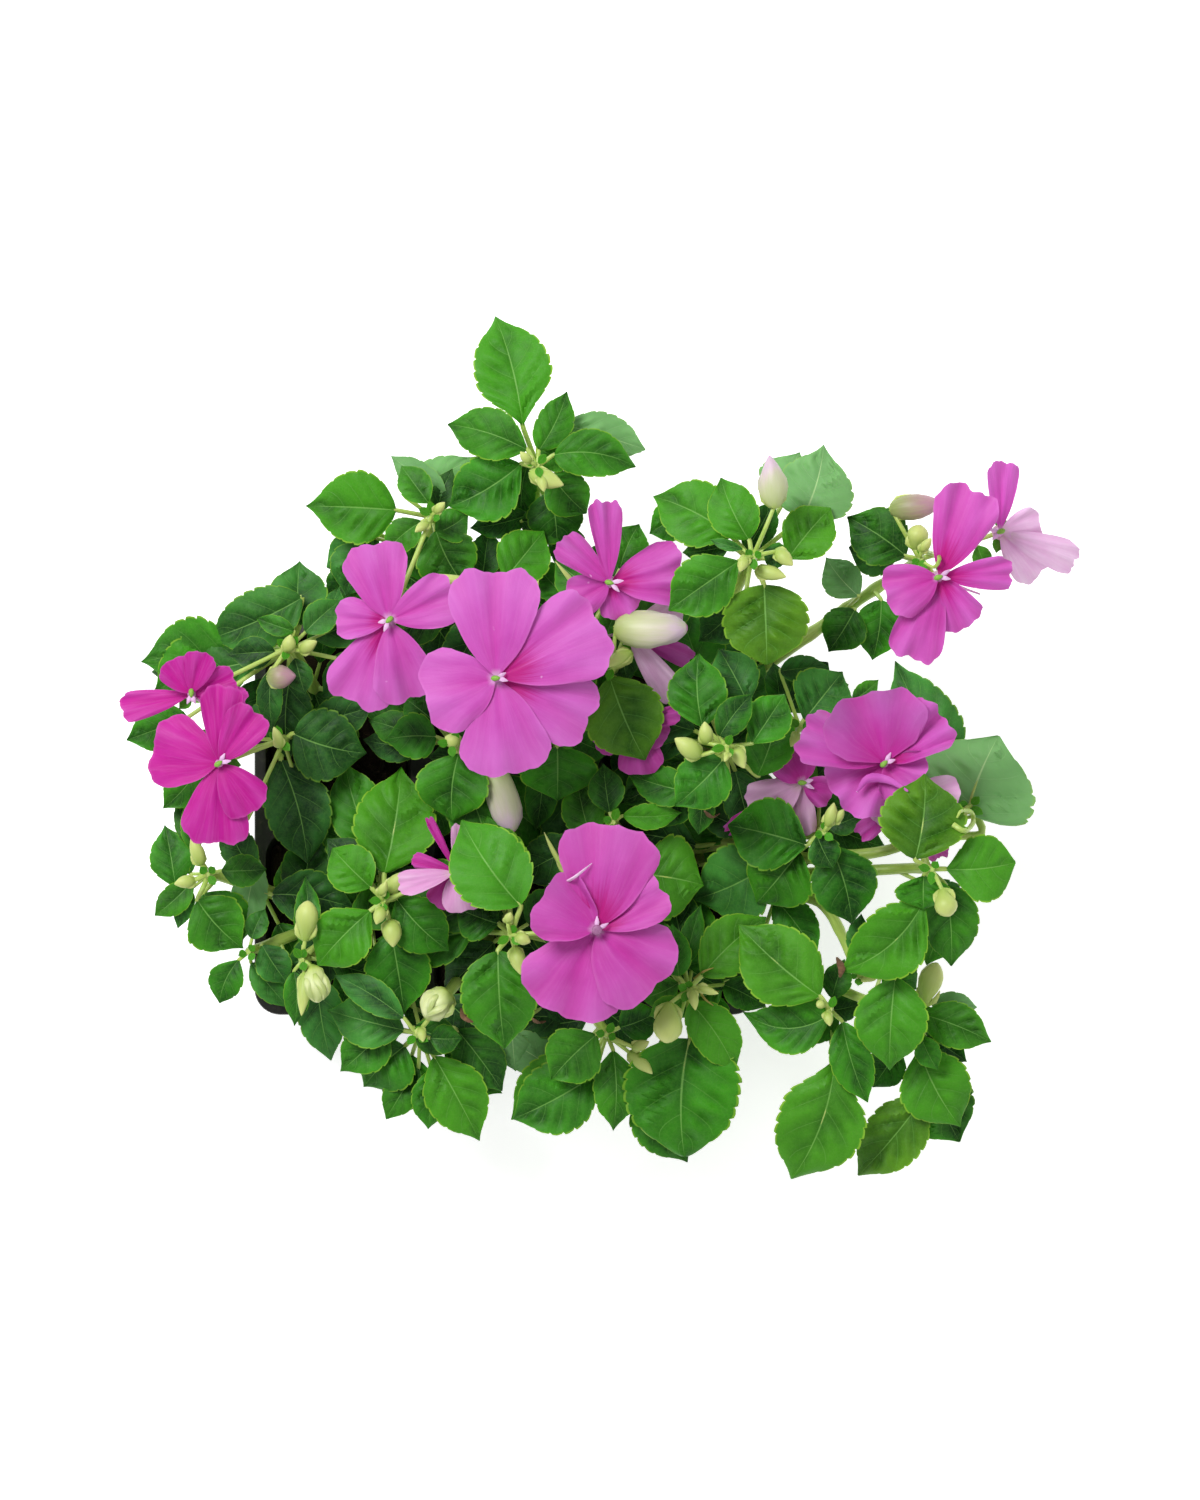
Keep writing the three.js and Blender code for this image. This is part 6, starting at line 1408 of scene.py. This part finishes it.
def make_soil(index, place, half_x, half_y):
    """A plug of compost: smooth where it met the cell, crumbly on top."""
    inset = CELL["wall"] + GAP
    piece = Piece(f"compost_{index + 1}")
    rings = cell_rings(place, half_x, half_y, ((SOIL["bottom"], inset + 0.6), (3, inset), (20, inset),
                                               (36, inset), (SOIL["edge"] - 0.4, inset)))
    edge, centre = rings[-1], np.array([*place, 0.0])
    for k in range(17):
        shrink = 1 - (k + 0.3) / 17.5
        ring = centre + (edge - centre) * (shrink, shrink, 0)
        rise = SOIL["edge"] + SOIL["mound"] * math.sin(0.5 * math.pi * (1 - shrink)) ** 0.8
        for point in ring:
            spot = Vector((point[0] * 0.28, point[1] * 0.28, 3.1 * index))
            point[2] = rise + 1.3 * noise.noise(spot) + 0.7 * noise.noise(spot * 3.1)
        rings.append(ring)
    faces = tube_faces(len(rings), len(edge))
    piece.add(np.concatenate(rings), faces, np.zeros(2), np.zeros(4), "soil")
    for k in range(SOIL["clods"]):
        item = ITEMS["clod"] + 1000 * index + k
        x = place[0] + (2 * chance(item, 1) - 1) * (half_x - 5)
        y = place[1] + (2 * chance(item, 2) - 1) * (half_y - 5)
        size = 0.5 + 1.5 * chance(item, 3) ** 3
        white = 1.0 if chance(item, 4) < SOIL["white_share"] else 0.0
        spin = 6.3 * chance(item, 5)
        z = SOIL["edge"] + 1.6 + 0.3 * size
        axis = (math.cos(spin), math.sin(spin), 0.6 * (chance(item, 6) - 0.5))
        long = size * (1 + 2.2 * chance(item, 7) ** 4)
        profile = [(along * long, wide * size)
                   for along, wide in ((0, 0.35), (0.4, 0.8), (1.1, 0.7), (1.5, 0.25))]
        add_lathe(piece, (x, y, z), axis, profile, 5, (0, white, 0, 0), "soil")
    return piece.build(30)


# ---- leaves lower down, which fill the plant out --------------------------------------------------

# The grid in plan in which room is kept.
SPREAD = {"x0": -160, "y0": -145, "columns": 160, "rows": 145, "cell": 2.0}
COVER_REACH = 48                # how far from a stem a leaf over bare soil may lie
COVER_STALK = 9                 # and how near to it at most
COVER_STEP = 5                  # distance between the places that are tried for one
CLEAR = 1.2                     # least height between a lower leaf and any other blade


class Room:
    """The heights that blades take up, cell by cell in plan."""

    def __init__(self):
        self.cells = {}
        self.roof = np.full((SPREAD["rows"], SPREAD["columns"]), -1.0)

    @staticmethod
    def cell_of(points):
        i = ((points[:, 0] - SPREAD["x0"]) / SPREAD["cell"]).astype(int)
        j = ((points[:, 1] - SPREAD["y0"]) / SPREAD["cell"]).astype(int)
        return i.clip(0, SPREAD["columns"] - 1), j.clip(0, SPREAD["rows"] - 1)

    def add(self, points, roof=True):
        for i, j, z in zip(*self.cell_of(points), points[:, 2]):
            self.cells.setdefault((i, j), []).append(z)
            if roof:
                self.roof[j, i] = max(self.roof[j, i], z)

    def clear(self, points):
        """Whether blade points stay clear of the others and under the roof, in covered ground."""
        i, j = self.cell_of(points)
        roof = self.roof[j, i]
        if (roof < 0).any() and not in_pack(points[roof < 0]).all():
            return False
        if ((roof >= 0) & (points[:, 2] > roof - CLEAR)).any():
            return False
        return all(abs(z - other) >= CLEAR
                   for a, b, z in zip(i, j, points[:, 2]) for other in self.cells.get((a, b), ()))


def in_pack(points):
    """Whether points lie over the pack, clear of the two corners of it that stay open to view."""
    x, y = points[:, 0], points[:, 1]
    over = (x > PACK["x0"] + 4) & (x < PACK["x1"] + 1) & (y > PACK["y0"] + 3) & (y < PACK["y1"] + 3)
    return over & ~((x < -92) & (y < -71)) & ~((x < -97) & (y > 24))


def blade_samples(leaf):
    """Points all over a blade, as "room" takes them."""
    s, t = np.meshgrid(np.linspace(0.04, 1, 15), np.linspace(-1, 1, 11))
    return leaf_surface(leaf, s.ravel(), t.ravel())


def lower_leaf(start, heading, item, drop):
    """A leaf that leaves a stem at start along heading."""
    length = 16 + 20 * chance(item, 71)
    width = length * (0.56 + 0.12 * chance(item, 72))
    stalk = 6 + 9 * chance(item, 73)
    ux, uy = math.cos(heading), math.sin(heading)
    x, y = start[0] + ux * stalk, start[1] + uy * stalk
    swing = heading + 0.5 * (chance(item, 74) - 0.5)
    entry = (x, y, x + length * math.cos(swing), y + length * math.sin(swing), width, 0, 0)
    leaf = shape_leaf(entry, start[2] + 0.25 * stalk - drop, item)
    leaf["droop"] = length * (0.12 + 0.5 * chance(item, 75) ** 2)
    return leaf


def cover_leaf(spot, stem_paths, item):
    """A leaf whose middle lies over a place in plan, from the nearest stem, or None."""
    best = None
    for name, path in stem_paths.items():
        away = np.hypot(path[:, 0] - spot[0], path[:, 1] - spot[1])
        away = np.where((path[:, 2] > STEM["collar"]) & (away > COVER_STALK), away, 1e9)
        k = int(np.argmin(away))
        if away[k] < COVER_REACH and (best is None or away[k] < best[0]):
            best = (away[k], name, path[k])
    if best is None:
        return None
    away, name, start = best
    ux, uy = (spot[0] - start[0]) / away, (spot[1] - start[1]) / away
    length = 20 + 14 * chance(item, 81)
    swing = 0.7 * (chance(item, 82) - 0.5)
    dx, dy = ux * math.cos(swing) - uy * math.sin(swing), uy * math.cos(swing) + ux * math.sin(swing)
    back, ahead = 0.42 * length, 0.58 * length
    entry = (spot[0] - back * dx, spot[1] - back * dy, spot[0] + ahead * dx, spot[1] + ahead * dy,
             length * (0.6 + 0.1 * chance(item, 83)), 0, 0)
    leaf = shape_leaf(entry, 57 + 17 * chance(item, 84), item)
    leaf["droop"] = length * 0.14
    return name, leaf, start


# ---- growing the plant ----------------------------------------------------------------------------


def leaf_lift(points, leaf):
    """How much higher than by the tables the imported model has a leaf's tip."""
    tip = height_at(points, *leaf["tip"])
    return 0.0 if tip is None else tip - (leaf["height"] - leaf["droop"])


def bud_lift(points, entry, height):
    """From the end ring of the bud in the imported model, whose middle is the bud's tip."""
    near = np.hypot(points[:, 0] - entry[2], points[:, 1] - entry[3]) < max(0.6, 0.125 * entry[4]) + 0.06
    return points[near, 2].mean() - height - BUD_RISE if near.any() else 0.0


def bloom_lift(points, bloom):
    top = height_at(points, *bloom["eye"], 1.8)
    return 0.0 if top is None else top - bloom["height"] - PETAL_STEP * len(bloom["petals"])


def plan_parts():
    """The leaves, buds and blooms of the tables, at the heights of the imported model, lowest first."""
    parts = []
    for s, shoot in enumerate(SHOOTS):
        points = node_points("leafy_stem_" + shoot["name"])
        for k, entry in enumerate(shoot["leaves"]):
            leaf = shape_leaf(entry, shoot["top"], 100 * s + k)
            leaf["lift"] = leaf_lift(points, leaf)
            parts.append({"kind": "leaf", "shoot": shoot["name"], "leaf": leaf, "shade": shoot["shades"][k],
                          "order": leaf["height"] - 0.4 * leaf["droop"],
                          "target": (*leaf["base"], leaf["height"] + leaf["lift"])})
        for k, entry in enumerate(shoot["buds"]):
            height = shoot["top"] + entry[5]
            z = height + bud_lift(points, entry, height)
            parts.append({"kind": "bud", "shoot": shoot["name"], "entry": entry, "order": height,
                          "item": ITEMS["bud"] + 100 * s + k, "target": (*entry[:2], z)})
    for b, bloom in enumerate(BLOOMS):
        stacked = sorted(range(len(bloom["petals"])), key=lambda k: bloom["petals"][k][3])
        petals = [(shape_petal(bloom["petals"][k], bloom, ITEMS["petal"] + b, order), bloom["looks"][k],
                   CURLS.get((bloom["name"], k), 0.0)) for order, k in enumerate(stacked)]
        lift = bloom_lift(node_points("bloom_" + bloom["name"]), bloom)
        parts.append({"kind": "bloom", "shoot": bloom["shoot"], "bloom": bloom, "petals": petals,
                      "lift": lift, "order": bloom["height"], "item": ITEMS["stalk"] + b,
                      "target": (*bloom["eye"], bloom["height"] + lift - THROAT_DEPTH - GAP)})
    return sorted(parts, key=lambda part: part["order"])


def join_parts(parts, routes):
    """Where each part's stalk leaves its stem: sets its joint, and gives the joints of each shoot."""
    joints = {name: [] for name in routes}
    for part in parts:
        name = part["shoot"]
        part["target"] = np.array(part["target"], float)
        used = [joint[2] for joint in joints[name]]
        part["joint"] = joint_on(routes[name], used, part["target"])
        joints[name].append(part["joint"])
    return joints


def taken_room(parts):
    """The room that the leaves and petals of the tables take up."""
    room = Room()
    r, t = np.meshgrid(np.linspace(0.05, 0.95, 14), np.linspace(-1, 1, 11))
    for part in parts:
        if part["kind"] == "leaf":
            room.add(blade_samples(part["leaf"]))
        for petal, _, _ in part.get("petals", ()):
            room.add(petal_surface(petal, r.ravel(), t.ravel(), part["lift"]))
    return room


def lower_leaves(room, stem_paths):
    """Leaves under the others, each with its shoot, the start of its stalk and its shade: those that
    show between the others, then those that find room along the stems, then those over bare soil."""
    found = []
    for k, (name, below, shade, *row) in enumerate(HIDDEN_LEAVES):
        leaf = shape_leaf((*row[:5], 0, *row[5:]), shoots[name]["top"] - below, ITEMS["hidden"] + k)
        room.add(blade_samples(leaf), False)
        start = nearest(stem_paths[name], np.array([*leaf["base"], leaf["height"] - 4]))
        found.append((name, leaf, start, shade))
    for attempt in range(LOWER_ROUNDS):
        for s, (name, path) in enumerate(stem_paths.items()):
            for k in range(6, len(path) - 6, 5):
                item = ITEMS["lower"] + 3000 * s + 500 * attempt + k
                heading = 2 * math.pi * chance(item, 70)
                for drop in LOWER_DROPS:
                    leaf = lower_leaf(path[k], heading, item, drop)
                    points = blade_samples(leaf)
                    if points[:, 2].min() > LOWEST_LEAF and room.clear(points):
                        room.add(points, False)
                        found.append((name, leaf, path[k], None))
                        break
    for attempt in range(COVER_ROUNDS):
        for x in range(PACK["x0"] + 3, PACK["x1"], COVER_STEP):
            for y in range(PACK["y0"] + 3, int(PACK["y1"]), COVER_STEP):
                item = ITEMS["cover"] + 4000 * attempt + 31 * (x + 110) + (y + 90)
                spot = (x + 3 * chance(item, 85), y + 3 * chance(item, 86))
                i, j = room.cell_of(np.array([spot]))
                leaf = None if room.cells.get((i[0], j[0])) else cover_leaf(spot, stem_paths, item)
                if leaf and room.clear(blade_samples(leaf[1])):
                    room.add(blade_samples(leaf[1]), False)
                    found.append((*leaf, None))
    return found


def add_part(part, piece, path):
    """Adds a leaf or bud to its foliage, or a bloom's stalk; gives the flower of a bloom."""
    joint = nearest(path, part["joint"])
    if part["kind"] == "leaf":
        add_leaf(piece, part["leaf"], leaf_tint(part["leaf"]["item"], part["shade"]))
        return add_petiole(piece, part["leaf"], joint)
    if part["kind"] == "bud":
        return add_bud(piece, part["entry"], part["target"][2], joint, part["item"])
    add_stalk(piece, joint, part["target"], part["item"])
    flower = Piece("flower_" + part["bloom"]["name"])
    for petal, look, curl in part["petals"]:
        add_petal(flower, petal, part["lift"], look, part["bloom"]["colours"], curl)
    add_eye(flower, part["bloom"], part["lift"])
    return flower


def add_growing_tip(piece, s, shoot, tip):
    """The small buds and the young leaves at the end of a shoot."""
    for k, entry in enumerate(shoot["small_buds"]):
        add_bud(piece, entry, tip[2] + 0.6 * entry[5], tip - (0, 0, 1), ITEMS["small_bud"] + 100 * s + k)
    for k in range(3):
        item = ITEMS["young"] + 10 * s + k
        turn = 2 * math.pi * (k / 3 + 0.3 * chance(item, 1))
        reach = 2.6 + 2.2 * chance(item, 2)
        ux, uy = math.cos(turn), math.sin(turn)
        entry = (tip[0] + 0.6 * ux, tip[1] + 0.6 * uy, tip[0] + reach * ux, tip[1] + reach * uy, 2.6, 0, 0)
        young = shape_leaf(entry, tip[2] + 0.3 * k, item)
        young["droop"] = -0.5 * reach
        add_small_blade(piece, young)


shoots = {shoot["name"]: shoot for shoot in SHOOTS}
routes = {name: stem_route(shoot) for name, shoot in shoots.items()}
parts = plan_parts()
joints = join_parts(parts, routes)
tops = {name: max([turn_height(shoot), *(joint[2] + 1.5 for joint in joints[name])])
        for name, shoot in shoots.items()}
stem_paths = {name: stem_path(routes[name], tops[name]) for name in shoots}
room = taken_room(parts)

stems = {name: Piece("foliage_" + name) for name in shoots}
flowers = {}
for name, leaf, start, shade in lower_leaves(room, stem_paths):
    shade = shade or LOWER_SHADES[int(len(LOWER_SHADES) * chance(leaf["item"], 76))]
    add_leaf(stems[name], leaf, leaf_tint(leaf["item"], shade))
    add_petiole(stems[name], leaf, start)
for part in parts:
    grown = add_part(part, stems[part["shoot"]], stem_paths[part["shoot"]])
    if part["kind"] == "bloom":
        flowers[part["bloom"]["name"]] = grown
for s, name in enumerate(shoots):
    add_stem(stems[name], stem_paths[name], joints[name], s)
    add_growing_tip(stems[name], s, shoots[name], np.array([*shoots[name]["tip"], tops[name]]))
for kind, name, *extra in EXTRAS:
    add_extra((flowers if kind == "flower" else stems)[name], room, *extra)

# ---- the scene ------------------------------------------------------------------------------------

pitch_x = (PACK["x1"] - PACK["x0"]) / CELL["columns"]
pitch_y = (PACK["y1"] - PACK["y0"]) / CELL["rows"]
half_x, half_y = (pitch_x - CELL["rib"]) / 2, (pitch_y - CELL["rib"]) / 2
places = [(PACK["x0"] + (column + 0.5) * pitch_x, PACK["y0"] + (row + 0.5) * pitch_y)
          for row in range(CELL["rows"]) for column in range(CELL["columns"])]

pieces = [(make_pack(places, half_x, half_y), "cell_pack", "pack")]
for index, place in enumerate(places):
    pieces.append((make_soil(index, place, half_x, half_y), f"soil_plug_{index + 1}", "soil"))
for name, piece in stems.items():
    pieces.append((piece.build(), "leafy_stem_" + name, "leaf"))
for name, flower in flowers.items():
    slot = "magenta_petal" if name in ("west_upper", "west_lower") else "petal"
    pieces.append((flower.build(), "bloom_" + name, slot))

for piece, node, slot in pieces:
    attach(piece, "root")
    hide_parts(node)


FLOOR_HALF = 4000
SKY_STRENGTH = 0.46
LAMPS = (("key", (-0.6, 0.65, 1.45), 0.7, 24.0),      # name, place, size and power, in metres and watts
         ("fill", (0.9, -0.5, 1.2), 1.2, 3.0))
LAMP_AIM = Vector((0, 0, 0.08))


def add_stage():
    """A pale floor under the pack, soft light from above and the camera straight overhead."""
    scene = bpy.context.scene
    floor = Piece("floor")
    corners = [(FLOOR_HALF * sx, FLOOR_HALF * sy, -0.05) for sx, sy in ((-1, -1), (1, -1), (1, 1), (-1, 1))]
    floor.add(corners, [np.array([[0, 1, 2, 3]])], np.zeros(2), np.zeros(4), "stage")
    floor.build()
    world = bpy.data.worlds.new("studio")
    world.use_nodes = True
    sky = world.node_tree.nodes["Background"]
    sky.inputs["Color"].default_value = (1.0, 1.0, 1.0, 1.0)
    sky.inputs["Strength"].default_value = SKY_STRENGTH
    scene.world = world
    for name, place, size, power in LAMPS:
        light = bpy.data.lights.new(name, "AREA")
        light.shape = "DISK"
        light.size = size
        light.energy = power
        lamp = bpy.data.objects.new(name, light)
        lamp.location = place
        lamp.rotation_euler = (LAMP_AIM - Vector(place)).to_track_quat("-Z", "Y").to_euler()
        scene.collection.objects.link(lamp)
    camera = bpy.data.cameras.new("camera")
    camera.lens = CAMERA["lens"]
    camera.sensor_width = CAMERA["sensor"]
    camera.clip_end = 20
    eye = bpy.data.objects.new("camera", camera)
    eye.location = (0, 0, CAMERA["height"])
    scene.collection.objects.link(eye)
    scene.camera = eye
    scene.view_settings.view_transform = "Standard"


add_stage()
